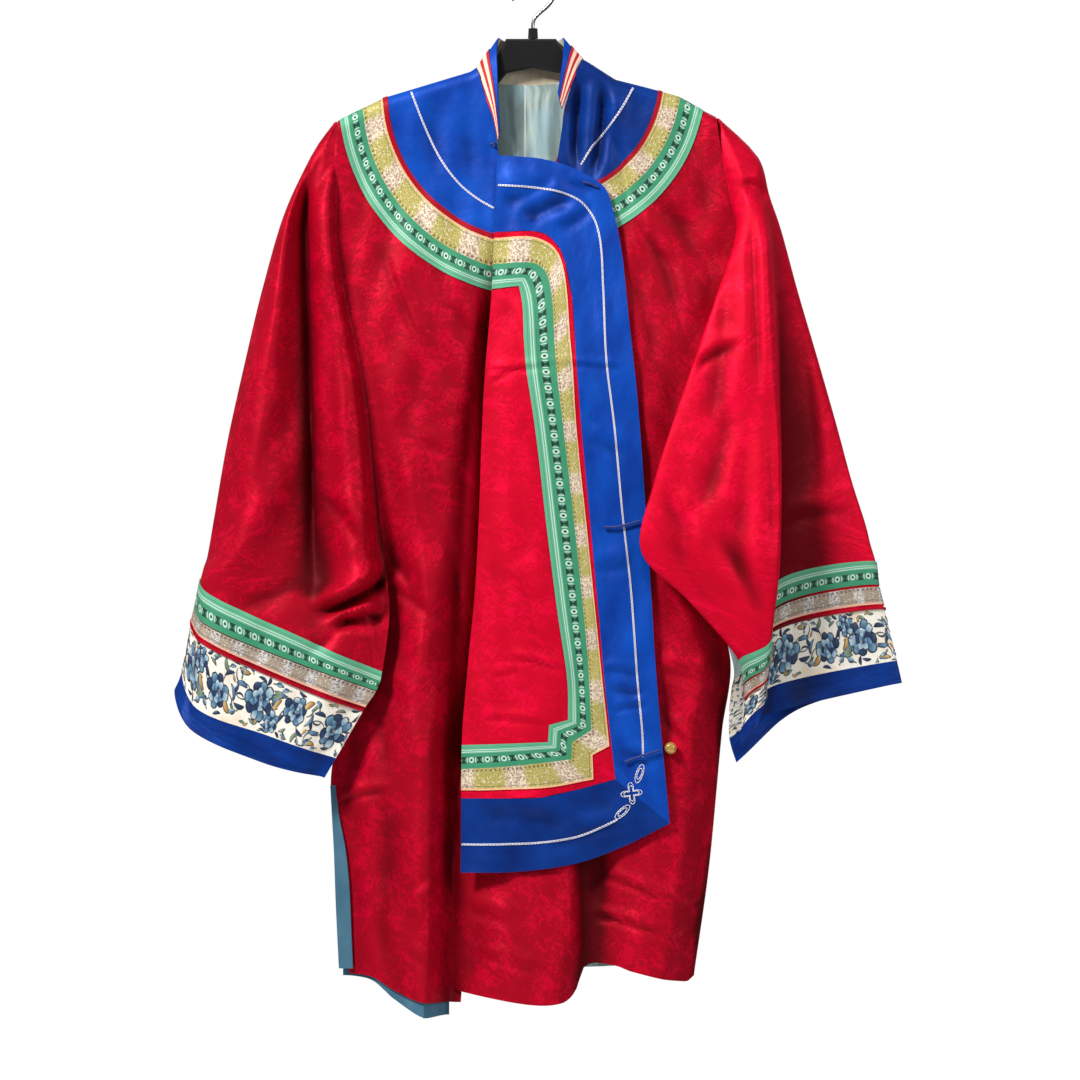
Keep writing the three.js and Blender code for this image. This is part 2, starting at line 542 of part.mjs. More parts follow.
// Where the cuff's pieces begin and end, counted in sections. seam is the clearance between two of them, as a
// share of a section.
const sleeves = [
  { side: "right", sleeve: rightSleeve, turn: 1, free: 7, seam: 0.014, cuff: [9, 10, 11, 12, 13] },
  { side: "left", sleeve: leftSleeve, turn: -1, free: 8, seam: 0.035, cuff: [10, 11, 12, 13, 14] },
];
sleeves.forEach(({ side, sleeve, turn, free, seam, cuff }) => {
  const [top, ribbon, piping, edging, rim] = cuff;
  const armholeStations = [0, 0.3, 0.65, ...steps(2 * free - 2, 1, free)];
  const stations = [...armholeStations, ...steps(piping - free, free, piping).slice(1)];
  stations[stations.length - 1] = piping - seam;
  const shape = (list, options) => wall(list.map((at) => ringAt(sleeve, at)), {
    turn, surfaceNormals: sleeveNormals(sleeve, list, free), ...options,
  });
  add(`sleeve_${side}`, shape(stations, {}), RED);
  const lyingOn = (thickness) => ({ inwards: -LIFT, outwards: LIFT + thickness });
  add(`cuff_green_${side}`, shape([top, ribbon - seam], lyingOn(RIBBON)), GREEN);
  add(`cuff_brocade_${side}`, shape([ribbon + seam * 2, piping - 0.12], lyingOn(RIBBON)), TAUPE);
  add(`cuff_piping_${side}`, shape([piping - 0.08, piping + 0.06], lyingOn(1.6)), RED);
  const band = [piping + seam, mix(piping, edging, 0.5), edging - seam];
  add(`cuff_band_${side}`, shape(band, {}), IVORY);
  add(`cuff_edging_${side}`, shape([edging + seam, rim], {}), BLUE);
});

// The flap: a red ground, a blue border mitred at the lower corner, and ribbons on the ground.
const borderInner = [
  [-36, 263], [0, 262], [12, 265], [20, 271], [27, 280], [32, 293], [39, 329], [43, 390], [48, 457], [57, 553],
  [65, 640], [72, 720], [82, 808],
];
const borderOuter = [
  [-36, 186], [10, 190], [35, 197], [58, 208], [72, 219], [79, 238], [88, 280], [95, 345], [104, 430], [111, 522],
  [118, 630], [123, 710], [136, 852],
];
const bottomInner = [[82, 808], [45, 818], [8, 826], [-26, 827], [-50, 827], [-70, 827]];
const bottomOuter = [[136, 852], [92, 874], [46, 891], [-14, 900], [-52, 901], [-72, 901]];
const groundRight = table(["down", "x"], [
  [280, 26], [293, 31], [329, 38], [390, 42], [457, 47], [553, 56], [640, 64], [720, 71], [808, 81],
]);
const groundTop = table(["x", "down"], [[-36, 264], [0, 263], [12, 266], [20, 272], [26, 280]]);
const groundHem = table(["x", "down"], [[-70, 826], [-30, 826], [8, 825], [45, 817], [81, 808]]);
add("flap_ground", wall(panelGrid({
  from: (down) => seamX(down) + SEAM,
  to: runOf(groundRight, "down", "x"),
  top: runOf(groundTop, "x", "down"),
  hem: runOf(groundHem, "x", "down"),
  columns: [-36, -32, -27.5, -22, -16, -9, 0, 9, 18, 26],
  levels: evenly(14),
  depth: flapY,
}), { facing: FRONT }), RED);

// Moves a line's points towards another line by a distance, which opens the clearance at a seam.
function drawnIn(line, towards, distance) {
  return line.map(([x, down], i) => {
    const [tx, td] = towards[i];
    const length = Math.hypot(tx - x, td - down);
    return [x + ((tx - x) / length) * distance, down + ((td - down) / length) * distance];
  });
}
// Keeps a border clear of the centre seam.
const clearOfSeam = (points) => points.map(([x, down]) => [Math.max(x, seamX(down) + SEAM), down]);
const onFlap = (inner, outer, list, columns, options) => wall(
  stripGrid(pathOf(clearOfSeam(inner)), pathOf(clearOfSeam(outer)), list, columns, flapY),
  { facing: FRONT, ...options },
);
const MITRE_SIDE = 0.0007; // clearances at the mitre, as shares of each border's length
const MITRE_HEM = 0.003;
const sideSteps = steps(24, 0, 1 - MITRE_SIDE);
add("flap_border_side", onFlap(drawnIn(borderInner, borderOuter, SEAM), borderOuter, sideSteps, 3, {}), BLUE);
const hemSteps = steps(10, MITRE_HEM, 1);
add("flap_border_hem", onFlap(drawnIn(bottomInner, bottomOuter, SEAM), bottomOuter, hemSteps, 3, {}), BLUE);

const greenInner = [
  [-37, 320], [-14, 317], [-11, 333], [-7, 396], [2, 457], [13, 553], [24, 640], [34, 710], [35, 749], [16, 754],
  [15, 771], [-12, 772], [-38, 773], [-55, 773.6], [-71, 774],
];
const goldInner = [
  [-36, 295], [3, 295], [14, 306], [23, 396], [30, 457], [41, 553], [50, 640], [56, 710], [58, 759], [39, 771],
  [38, 788], [6, 792], [-36, 796], [-54, 797], [-70, 798],
];
const goldOuter = [
  [-36, 269], [4, 269], [25, 284], [38, 380], [43, 457], [53, 553], [62, 640], [69, 710], [76, 775], [59, 784],
  [60, 808], [16, 816], [-34, 818.5], [-53, 819], [-69, 819],
];
const lying = { inwards: -LIFT, outwards: LIFT + RIBBON };
const greenOuter = drawnIn(goldInner, greenInner, SEAM);
add("flap_ribbon_green", onFlap(greenInner, greenOuter, steps(42), 2, lying), GREEN);
add("flap_ribbon_gold", onFlap(goldInner, goldOuter, steps(42), 2, lying), GOLD);

// A cord that is laid flat on the blue, as a narrow strip along a line.
function cordStrip(points, width, count, depth, lift) {
  const line = pathOf(points);
  const middle = (share) => {
    const [x0, d0] = line(share - 0.004);
    const [x1, d1] = line(share + 0.004);
    const length = Math.hypot(x1 - x0, d1 - d0) || 1;
    const [x, down] = line(share);
    return { x, down, nx: -(d1 - d0) / length, nd: (x1 - x0) / length };
  };
  const edge = (sign) => (share) => {
    const m = middle(share);
    return [m.x + (sign * m.nx * width) / 2, m.down + (sign * m.nd * width) / 2];
  };
  return wall(stripGrid(edge(-1), edge(1), steps(count), 1, depth), {
    facing: FRONT, inwards: -lift, outwards: lift + RIBBON,
  });
}
const CORD = 3;
const flapCordTop = [
  [-35, 216], [4, 219], [30, 224], [48, 233], [61, 250], [67, 272], [70, 320], [73, 390], [81, 457], [89, 543],
  [97, 614], [104, 710], [110, 765], [111, 790],
];
const flapCordHem = [[84, 846], [70, 853], [45, 865], [8, 871], [-24, 872.5], [-48, 873], [-71, 873]];
add("flap_cord_side", cordStrip(flapCordTop, CORD, 30, flapY, LIFT), SILVER);
add("flap_cord_hem", cordStrip(flapCordHem, CORD, 18, flapY, LIFT), SILVER);

// The knot in the corner of the border: a lobed ring of the same cord.
const KNOT_X = 98;
const KNOT_DOWN = 821;
const knotRing = (radius) => (share) => {
  const turn = share * 2 * Math.PI * 0.985;
  const reach = radius * (1 + 0.28 * Math.cos(4 * turn));
  return [KNOT_X + reach * Math.cos(turn), KNOT_DOWN + reach * Math.sin(turn)];
};
add("flap_cord_knot", wall(stripGrid(knotRing(8.5), knotRing(11.5), steps(28), 1, flapY), {
  facing: FRONT, inwards: -LIFT, outwards: LIFT + RIBBON,
}), SILVER);

// The yoke: a round blue piece about the neck, then a red piping, a gold and a green ribbon, in rings.
// start and end are the radius at the shoulder and lower down; a band's angle starts on the shoulder line.
const shoulderAngle = (radius, sign) => {
  let angle = 0;
  for (let turn = 0; turn < 20; turn += 1) {
    const x = YOKE_X + sign * radius * Math.cos(angle);
    const low = (shoulderDown(x) + 0.9 - YOKE_DOWN) / radius;
    angle = mix(angle, Math.asin(clamp(low, -0.95, 0.95)), 0.6);
  }
  return angle;
};
const frontRight = {
  sign: -1,
  rings: { blue: [143, 149], gold: [148, 154], green: [169, 181], edge: [193, 205] },
  endAngle: (radius) => Math.acos(clamp((YOKE_X - seamX(YOKE_DOWN + radius) + 1.2) / radius, -1, 1)),
};
const frontLeft = {
  sign: 1,
  rings: { blue: [127, 112], gold: [131, 116], green: [149, 136], edge: [173, 163] },
  endAngle: () => 1.02,
};
const ringLine = ({ sign, endAngle }, [start, end]) => (share) => {
  const radius = mix(start, end, share);
  const angle = mix(shoulderAngle(start, sign), endAngle(end), share);
  return [YOKE_X + sign * radius * Math.cos(angle), YOKE_DOWN + radius * Math.sin(angle)];
};
// A strip of the yoke: its end at the shoulder follows the shoulder line.
const RIDGE_CLEAR = 0.9;
function yokeStrip(inner, outer, list, columns, depth, fade, bothEnds = false) {
  const ruled = (step, share) => [0, 1].map((axis) => mix(inner(step)[axis], outer(step)[axis], share));
  const short = (step, share) => {
    const [x, down] = ruled(step, share);
    return shoulderDown(x) + RIDGE_CLEAR - down;
  };
  return list.map((step) => evenly(columns).map((share) => {
    const [x, ruledDown] = ruled(step, share);
    const atStart = short(0, share) * (1 - smooth(step / fade));
    const atEnd = bothEnds ? short(1, share) * (1 - smooth((1 - step) / fade)) : 0;
    const down = ruledDown + atStart + atEnd;
    return place(x, down, depth(x, down));
  }));
}
// On the back the rings run from one shoulder to the other.
const backRing = (start, low, end) => (share) => {
  const from = Math.PI - shoulderAngle(start, -1);
  const angle = mix(from, shoulderAngle(end, 1), share);
  const radius = share < 0.5 ? mix(start, low, smooth(share * 2)) : mix(low, end, smooth(share * 2 - 1));
  return [YOKE_X + radius * Math.cos(angle), YOKE_DOWN + radius * Math.sin(angle)];
};
const shrunk = ([start, end], by) => [start - by, end - by];
const nearShoulder = [0, 0.006, 0.02, 0.05];
const yokeSteps = [...nearShoulder, ...steps(10, 0.12, 1)];
const yokeSides = [
  { name: "right", side: frontRight, depth: rightFrontY,
    neck: [[-61, 104], [-54, 124], [-47, 141], [-41, 156], [-37.5, 168], [-37.5, 187]] },
  { name: "left", side: frontLeft, depth: underFrontY,
    neck: [[54.5, 95], [46, 108], [38, 125], [33, 140], [30, 165], [26, 192]] },
];
yokeSides.forEach(({ name, side, depth, neck }) => {
  const { blue, gold, green, edge } = side.rings;
  const strip = (inner, outer, columns, extra) => wall(
    yokeStrip(inner, outer, yokeSteps, columns, depth, 0.4),
    { facing: FRONT, inwards: -LIFT, outwards: LIFT + extra },
  );
  add(`yoke_${name}`, strip(pathOf(neck), ringLine(side, shrunk(blue, SEAM)), 5, RIBBON), BLUE);
  add(`yoke_piping_${name}`, strip(ringLine(side, blue), ringLine(side, shrunk(gold, SEAM)), 1, 1.8), RED);
  add(`yoke_gold_${name}`, strip(ringLine(side, gold), ringLine(side, shrunk(green, SEAM)), 2, RIBBON), GOLD);
  add(`yoke_green_${name}`, strip(ringLine(side, green), ringLine(side, edge), 2, RIBBON), GREEN);
});
const backNeck = [
  [-61, 104], [-57, 108], [-50, 112], [-38, 115], [-20, 116.5], [-2, 117], [14, 116], [28, 114], [42, 109],
  [50, 102],
  [54.5, 95],
];
const backSteps = [
  0, 0.003, 0.01, 0.025, ...steps(20, 0.05, 0.95), 0.975, 0.99, 0.997, 1,
];
const onBack = (inner, outer, columns, extra) => wall(
  yokeStrip(inner, outer, backSteps, columns, backY, 0.2, true),
  { facing: BACK, inwards: -LIFT, outwards: LIFT + extra },
);
add("yoke_back", onBack(pathOf(backNeck), backRing(142.5, 146, 126.5), 5, RIBBON), BLUE);
add("yoke_piping_back", onBack(backRing(143, 146.5, 127), backRing(147.5, 151, 130.5), 1, 1.8), RED);
add("yoke_gold_back", onBack(backRing(148, 151.5, 131), backRing(168.5, 172, 148.5), 2, RIBBON), GOLD);
add("yoke_green_back", onBack(backRing(169, 172.5, 149), backRing(193, 196, 173), 2, RIBBON), GREEN);

// Cord on the yoke: one curve each side, on top of the blue.
const onYoke = (depth) => (x, down) => depth(x, down) - LIFT - RIBBON;
const cordLineRight = [[-118, 132], [-106, 162], [-92, 190], [-74, 214], [-56, 229], [-39, 239]];
const cordLineLeft = [[99, 122], [88, 140], [72, 162], [58, 181], [48, 195]];
add("yoke_cord_right", cordStrip(cordLineRight, CORD, 12, onYoke(rightFrontY), LIFT), SILVER);
add("yoke_cord_left", cordStrip(cordLineLeft, CORD, 10, onYoke(underFrontY), LIFT), SILVER);

// The stand collar: a band from its foot at the neck line to its top edge.
const collar = table(["foot", "top"], [
  [[-34.5, 172, -17], [-33.5, 160, -18]],
  [[-39.5, 150, -15], [-35, 130, -17]],
  [[-47.5, 130, -12.5], [-36, 100, -14]],
  [[-55, 112, -8], [-36.5, 79, -9]],
  [[-58.8, 101.9, 0], [-35, 68, -1]],
  [[-51.5, 106.5, 8.4], [-30, 70, 7]],
  [[-32, 113.4, 12.8], [-18, 73, 11]],
  [[-2, 116, 13.2], [-2, 74, 12]],
  [[25, 112, 12.8], [14, 73, 11]],
  [[43, 102, 8.4], [26, 70, 7]],
  [[51.6, 92.0, 0], [31, 68, -1]],
  [[43, 106, -9], [31, 82, -10]],
  [[35, 124, -13], [28.5, 102, -14]],
  [[29, 140, -15.5], [25, 124, -16.5]],
]);
const collarLine = (part) => (
  new THREE.CatmullRomCurve3(collar.map((row) => place(...row[part])), false, "centripetal")
);
const collarFoot = collarLine("foot");
const collarTop = collarLine("top");
const collarGrid = (low, high, rows, columns) => evenly(rows).map((level) => evenly(columns).map((share) => (
  collarFoot.getPoint(share).lerp(collarTop.getPoint(share), mix(low, high, level))
)));
add("collar", wall(collarGrid(0, 1, 2, 32), { turn: -1 }), BLUE);
const onCollar = { turn: -1, inwards: -0.5, outwards: 0.5 + RIBBON };
add("collar_braid", wall(collarGrid(0.06, 0.34, 1, 32), onCollar), IVORY);

// Fastenings: two cord loops on the flap's border, small closed loops at the collar, and a ball button.
function cordTube(points, diameter) {
  const curve = new THREE.CatmullRomCurve3(points.map(([x, down, y]) => place(x, down, y)));
  const round = new THREE.Shape().absarc(0, 0, diameter / 2, 0, 2 * Math.PI);
  return new THREE.ExtrudeGeometry(round, { steps: points.length * 2, extrudePath: curve, curveSegments: 3 });
}
const loopOver = (points, depth, clear) => points.map(([x, down]) => (
  [x, down, depth(x, down) - clear - LOOP_CORD / 2]
));
const OVER_CORD = LIFT + RIBBON + 0.4;
const loops = table(["name", "points", "depth", "clear"], [
  ["loop_middle", [[70, 557], [82, 557], [96, 554], [106, 551]], flapY, OVER_CORD],
  ["loop_lower", [[91, 791], [101, 787], [116, 782], [126, 779]], flapY, OVER_CORD],
  ["loop_collar", [[-42, 176], [-40, 173], [-38.6, 178]], rightFrontY, OVER_CORD],
  ["loop_neck", [[50, 213], [57, 215], [64, 218]], flapY, 0.5],
]);
loops.forEach(({ name, points, depth, clear }) => {
  add(name, cordTube(loopOver(points, depth, clear), LOOP_CORD), NAVY);
});
const buttonX = 137;
const buttonDown = 777;
const button = new THREE.SphereGeometry(BUTTON / 2, 12, 8);
button.translate(buttonX, underFrontY(buttonX, buttonDown) - BUTTON / 2 - LIFT, -buttonDown);
add("ball_button", button, BRASS, 0.35, 0.9);

// The hanger: one bevelled plate, its arms just under the cloth's ridge, and a wire hook.
const hangerTop = [
  [-193, 153.5], [-148, 130.4], [-68, 106.8], [-60, 110], [-50, 110], [-31, 78], [-27, 69], [23, 69], [28, 76],
  [44, 99], [54, 99], [82, 112.6], [102, 117.5], [125, 123.5], [146, 129.5], [171, 143.6], [182, 150],
];
const hangerUnder = [
  [184, 158], [171, 158], [125, 141], [82, 134], [42, 124], [26, 103], [0, 98], [-26, 103], [-44, 126],
  [-64, 131], [-148, 152], [-190, 168], [-196, 162],
];
const hangerOutline = [...hangerTop, ...hangerUnder];
const hangerShape = new THREE.Shape(hangerOutline.map(([x, down]) => new THREE.Vector2(x, -down)));
const hangerPlate = new THREE.ExtrudeGeometry(hangerShape, {
  depth: HANGER_THICK - 2 * HANGER_BEVEL,
  bevelThickness: HANGER_BEVEL,
  bevelSize: HANGER_BEVEL,
  bevelOffset: -HANGER_BEVEL,
  bevelSegments: 1,
});
hangerPlate.rotateX(Math.PI / 2);
hangerPlate.translate(0, HANGER_THICK / 2 - HANGER_BEVEL, 0);
add("hanger", hangerPlate, BLACK, 0.8);
const hookRadius = HOOK_INSIDE + HOOK_WIRE / 2;
const hookPath = evenly(14).map((share) => {
  const angle = mix(-1.15, Math.PI + 0.5, share);
  return new THREE.Vector3(hookRadius * Math.cos(angle), 0, hookRadius * Math.sin(angle) - HOOK_INSIDE);
});
const stem = [[0, 58.1], [0, 54], [2, 48]].map(([x, down]) => place(x, down, 0));
const hookCurve = new THREE.CatmullRomCurve3([...stem, ...hookPath.slice(1)]);
const wire = new THREE.Shape().absarc(0, 0, HOOK_WIRE / 2, 0, 2 * Math.PI);
const hook = new THREE.ExtrudeGeometry(wire, { steps: 30, extrudePath: hookCurve, curveSegments: 4 });
add("hook", hook, STEEL, 0.3, 1);
const SOCKET_LENGTH = 10;
const SOCKET_TOP = 58.5;
const socket = new THREE.CylinderGeometry(4.6, 5.2, SOCKET_LENGTH, 14);
socket.rotateX(Math.PI / 2);
add("hook_socket", socket.translate(0, 0, -SOCKET_TOP - SOCKET_LENGTH / 2), BLACK, 0.7);

export default robe;
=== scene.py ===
# %% [markdown]
# # A silk robe on a hanger
# The robe hangs flat on a black hanger and faces us. Millimetres are used for its sizes, because a maker
# reads a robe so, and every height is given as "down", the distance under the hook's inside top, which is
# the origin. The wearer's right is at -X and the front looks to -Y.

# %% Tools
import math
import bpy
import numpy as np
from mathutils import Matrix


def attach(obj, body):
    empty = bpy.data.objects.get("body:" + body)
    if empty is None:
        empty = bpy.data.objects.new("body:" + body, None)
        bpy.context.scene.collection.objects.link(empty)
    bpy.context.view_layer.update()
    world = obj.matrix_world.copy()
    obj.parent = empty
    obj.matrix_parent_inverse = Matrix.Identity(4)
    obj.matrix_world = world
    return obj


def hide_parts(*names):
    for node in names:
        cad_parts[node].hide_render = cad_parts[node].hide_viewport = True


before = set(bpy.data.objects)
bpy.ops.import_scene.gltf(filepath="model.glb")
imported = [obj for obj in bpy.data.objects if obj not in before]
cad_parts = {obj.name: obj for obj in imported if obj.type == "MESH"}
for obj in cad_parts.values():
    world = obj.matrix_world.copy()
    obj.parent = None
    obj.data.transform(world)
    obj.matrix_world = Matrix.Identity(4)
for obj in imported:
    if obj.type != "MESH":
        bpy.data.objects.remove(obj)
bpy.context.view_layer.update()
bpy.ops.object.select_all(action="DESELECT")
print("CAD nodes:", len(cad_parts))

# %% [markdown]
# ## The camera
# The photograph was taken square on. A long lens from far away keeps the picture flat: one millimetre at
# the robe's plane is one pixel of the photograph's frame.

# %% Camera
FRAME_WIDTH = 1.080
CENTRE_X = 0.007
CENTRE_Z = -0.570
DISTANCE = 7.0
camera_data = bpy.data.cameras.new("camera")
camera_data.sensor_fit = "HORIZONTAL"
camera_data.sensor_width = 36
camera_data.lens = 36 * DISTANCE / FRAME_WIDTH
camera_data.clip_end = 30
camera = bpy.data.objects.new("camera", camera_data)
camera.location = (CENTRE_X, -DISTANCE, CENTRE_Z)
camera.rotation_euler = (math.pi / 2, 0, 0)
bpy.context.collection.objects.link(camera)
bpy.context.scene.camera = camera
print("lens, mm:", round(camera_data.lens))

# %% [markdown]
# ## Curves and tables
# A cutter notes a garment in a few measures and draws a fair curve through them. The same is done here:
# short tables with named columns, a smooth curve or straight runs through them, and numpy arrays, so that a
# whole panel is worked out at once.

# %% Curves through tables
def smooth(share):
    share = np.clip(share, 0, 1)
    return share * share * (3 - 2 * share)


def mix(a, b, share):
    return a + (b - a) * share


def quarter_round(share):
    return np.sqrt(1 - (1 - np.clip(share, 0, 1)) ** 2)


def table(names, rows):
    return [dict(zip(names, row)) for row in rows]


def run_of(rows, start, end):
    at = [row[start] for row in rows]
    value = [row[end] for row in rows]
    return lambda place: np.interp(place, at, value)


def curve_of(rows, start, end):
    at = np.array([row[start] for row in rows], float)
    value = np.array([row[end] for row in rows], float)
    last = len(at) - 1
    before = np.maximum(np.arange(last + 1) - 1, 0)
    after = np.minimum(np.arange(last + 1) + 1, last)
    slope = (value[after] - value[before]) / (at[after] - at[before])

    def read(place):
        p = np.clip(place, at[0], at[last])
        i = np.clip(np.searchsorted(at, p, side="left") - 1, 0, last - 1)
        width = at[i + 1] - at[i]
        s = (p - at[i]) / width
        rise = value[i + 1] - value[i]
        bend = (slope[i] + slope[i + 1]) * width - 2 * rise
        square = 3 * rise - (2 * slope[i] + slope[i + 1]) * width
        return value[i] + s * (width * slope[i] + s * (square + s * bend))

    return read


# %% [markdown]
# ## The body's measures
# The shoulder line follows the hanger. Below the arms the right side flares to the slit, and the left side is
# hidden behind the sleeve. The centre seam joins the wearer's right front to the shorter flap.

# %% Body tables
CLOTH = 1.6
RIBBON = 0.6
LIFT = 0.5
shoulder = table(["x", "down"], [
    [-195, 151], [-148, 128], [-62, 102], [-30, 80], [0, 72], [30, 80], [54, 92],
    [82, 110], [102, 115], [125, 121], [146, 127], [171, 141], [183, 147],
])
shoulder_down = run_of(shoulder, "x", "down")
right_edge = table(["down", "x", "front", "back", "roll"], [
    [151, -195, 14, 10, 30], [230, -195, 16, 12, 30], [278, -195, 18, 13, 30], [357, -179, 20, 14, 30],
    [430, -165, 21, 14, 30], [489, -159, 20, 12, 34], [548, -153, 16, 6, 38], [594, -151, 8, -3.6, 46],
    [690, -176, 4, 0.4, 70], [807, -202, 2.5, 2, 60], [881, -191, 2.5, 2, 50], [1010, -183, 2.5, 2, 40],
])
left_edge = table(["down", "x", "front", "back", "roll"], [
    [147, 183, 14, 10, 26], [190, 189, 16, 11, 26], [230, 197, 17, 12, 26], [262, 204, 16, 13, 26],
    [320, 203, 19, 13, 28], [403, 192, 21, 13, 30], [480, 179, 21, 11, 32], [548, 171, 17, 4, 34],
    [590, 167, 9, -4.6, 36], [687, 197, 4, 0.4, 34], [761, 189, 2.5, 2, 34], [897, 176, 2.5, 2, 34],
    [1004, 161, 2.5, 2, 34],
])
centre_seam = table(["down", "x", "depth"], [
    [186, -36, 13], [318, -41, 22], [406, -48, 27], [464, -51, 28], [550, -54, 28], [623, -58, 28],
    [696, -65, 27], [775, -71, 26], [901, -72, 24], [1032, -79, 13],
])
under_edge = table(["down", "x"], [
    [92, 54], [115, 42], [138, 32], [193, 22], [230, -13], [300, -31], [430, -41], [700, -56], [901, -88],
    [1020, -96],
])
right_x = curve_of(right_edge, "down", "x")
left_x = curve_of(left_edge, "down", "x")
seam_x = curve_of(centre_seam, "down", "x")
seam_depth = curve_of(centre_seam, "down", "depth")
under_x = curve_of(under_edge, "down", "x")
edge_depth = {
    side: (curve_of(right_edge, "down", side), curve_of(left_edge, "down", side))
    for side in ("front", "back", "roll")
}
print("width at the chest, mm:", round(float(left_x(400) - right_x(400))))

# %% [markdown]
# ## Folds and creases
# A long fold is a soft ridge or trough that runs down a panel. A crease is a short line that the cloth keeps
# from lying folded: a sharp little valley with a raised lip beside it. Under both lies the slow waviness of
# hung silk, made here from a few crossing waves with drawn directions.

# %% Folds, creases and waviness
fold_columns = ["x0", "down0", "x1", "down1", "to_right", "to_left", "rise", "fade_in", "fade_out"]


def rise_of(folds, x, down):
    total = np.zeros(np.broadcast(x, down).shape)
    for f in folds:
        share = (down - f["down0"]) / (f["down1"] - f["down0"])
        offset = x - mix(f["x0"], f["x1"], share)
        reach = np.where(offset < 0, f["to_right"], f["to_left"])
        fade_in = smooth((down - f["down0"]) / f["fade_in"]) if f["fade_in"] else 1
        fade_out = smooth((f["down1"] - down) / f["fade_out"]) if f["fade_out"] else 1
        inside = (share >= 0) & (share <= 1)
        total += np.where(inside, f["rise"] * fade_in * fade_out * np.exp(-((offset / reach) ** 2)), 0)
    return total


crease_columns = ["x0", "down0", "x1", "down1", "width", "depth", "lip", "bow"]
CREASE = 1.5


def creases_of(creases, x, down):
    total = np.zeros(np.broadcast(x, down).shape)
    for c in creases:
        along = np.array([c["x1"] - c["x0"], c["down1"] - c["down0"]], float)
        length = np.hypot(*along)
        along /= length
        dx = x - c["x0"]
        dd = down - c["down0"]
        share = (dx * along[0] + dd * along[1]) / length
        offset = dx * along[1] - dd * along[0] - c["bow"] * 4 * share * (1 - share)
        fade = smooth(share / 0.3) * smooth((1 - share) / 0.3)
        valley = -c["depth"] * np.exp(-((offset / c["width"]) ** 2))
        lip = c["lip"] * np.exp(-(((offset - 2.2 * c["width"]) / (1.8 * c["width"])) ** 2))
        total += fade * (valley + lip)
    return total * CREASE


def waviness(x, down, seed, height, wide=42, tall=150):
    draw = np.random.default_rng(seed)
    total = np.zeros(np.broadcast(x, down).shape)
    for _ in range(9):
        across = 2 * math.pi / (wide * draw.uniform(0.6, 1.7))
        along = draw.choice([-1, 1]) * 2 * math.pi / (tall * draw.uniform(0.5, 1.6))
        shift, bend = draw.uniform(0, 6.28, 2)
        warp = 1.1 * np.sin(down / (tall * 0.45) + bend) + 0.6 * np.sin(x / (wide * 0.8) + shift)
        total += np.sin(across * x + along * down + shift + warp) * draw.uniform(0.5, 1)
    return height * total / 3


right_front_folds = table(fold_columns, [
    [-112, 420, -106, 1040, 26, 20, 22, 500, 0], [-150, 620, -148, 1040, 12, 14, -7, 300, 0],
    [-128, 215, -112, 430, 24, 24, 5, 90, 120], [-58, 380, -84, 960, 12, 10, -13, 200, 60],
])
under_front_folds = table(fold_columns, [
    [30, 850, 22, 1040, 52, 16, 12, 140, 0], [56, 760, 52, 1040, 12, 26, -14, 160, 0],
    [112, 830, 118, 1040, 22, 26, 7, 120, 0], [132, 226, 178, 312, 15, 15, -6, 30, 30],
    [50, 118, 44, 196, 13, 13, -3, 30, 30],
])
flap_folds = table(fold_columns, [[8, 300, -2, 880, 40, 44, 4, 160, 60]])
back_folds = table(fold_columns, [
    [-90, 420, -104, 1040, 34, 34, 12, 300, 0], [20, 380, 12, 1040, 40, 40, 10, 300, 0],
    [112, 420, 118, 1040, 32, 32, 12, 300, 0], [-40, 420, -46, 1040, 22, 22, -6, 300, 0],
])
right_front_creases = table(crease_columns, [
    [-200, 835, -139, 819, 3.2, 1.8, 1.6, 2], [-150, 276, -104, 390, 4, 1.8, 1.4, -4],
    [-168, 560, -108, 640, 7, 2.2, 2.0, 5], [-166, 606, -92, 655, 5, 1.5, 1.6, 4],
    [-120, 470, -70, 500, 6, 1.0, 1.0, 3], [-95, 900, -140, 940, 4, 1.0, 1.0, -3],
    [-176, 700, -120, 745, 8, 1.8, 1.6, 4], [-88, 560, -74, 640, 5, 1.2, 1.0, 2],
    [-130, 980, -95, 1003, 4, 1.0, 1.0, 2], [-92, 330, -60, 372, 5, 1.0, 1.0, 2],
])
under_front_creases = table(crease_columns, [
    [66, 904, 146, 938, 3.4, 2.0, 1.8, 2], [140, 940, 176, 928, 3, 1.4, 1.2, 0],
    [50, 944, 142, 969, 3.2, 1.8, 1.6, 3], [138, 970, 160, 958, 3, 1.2, 1.0, 0],
    [127, 742, 164, 784, 3.0, 1.4, 1.4, -2], [120, 700, 178, 716, 6, 1.6, 1.6, 3],
    [74, 150, 96, 240, 6, 2.4, 2.0, 3], [102, 240, 138, 300, 5, 1.6, 1.6, -4],
    [112, 262, 150, 366, 7, 2.2, 2.0, 5], [96, 300, 120, 400, 7, 1.4, 1.4, 3],
    [50, 104, 44, 206, 6, 6.0, 2.0, -3], [70, 104, 56, 220, 6, 6.5, 2.4, 5],
    [124, 560, 176, 640, 9, 2.0, 2.0, 6], [130, 820, 176, 842, 5, 1.2, 1.2, 2],
    [-60, 985, 10, 1003, 4, 1.2, 1.2, 2], [-70, 940, -20, 956, 5, 1.0, 1.2, 3],
    [20, 900, 38, 1010, 6, 1.4, 1.6, -2], [112, 440, 160, 520, 8, 1.6, 1.8, 5],
])
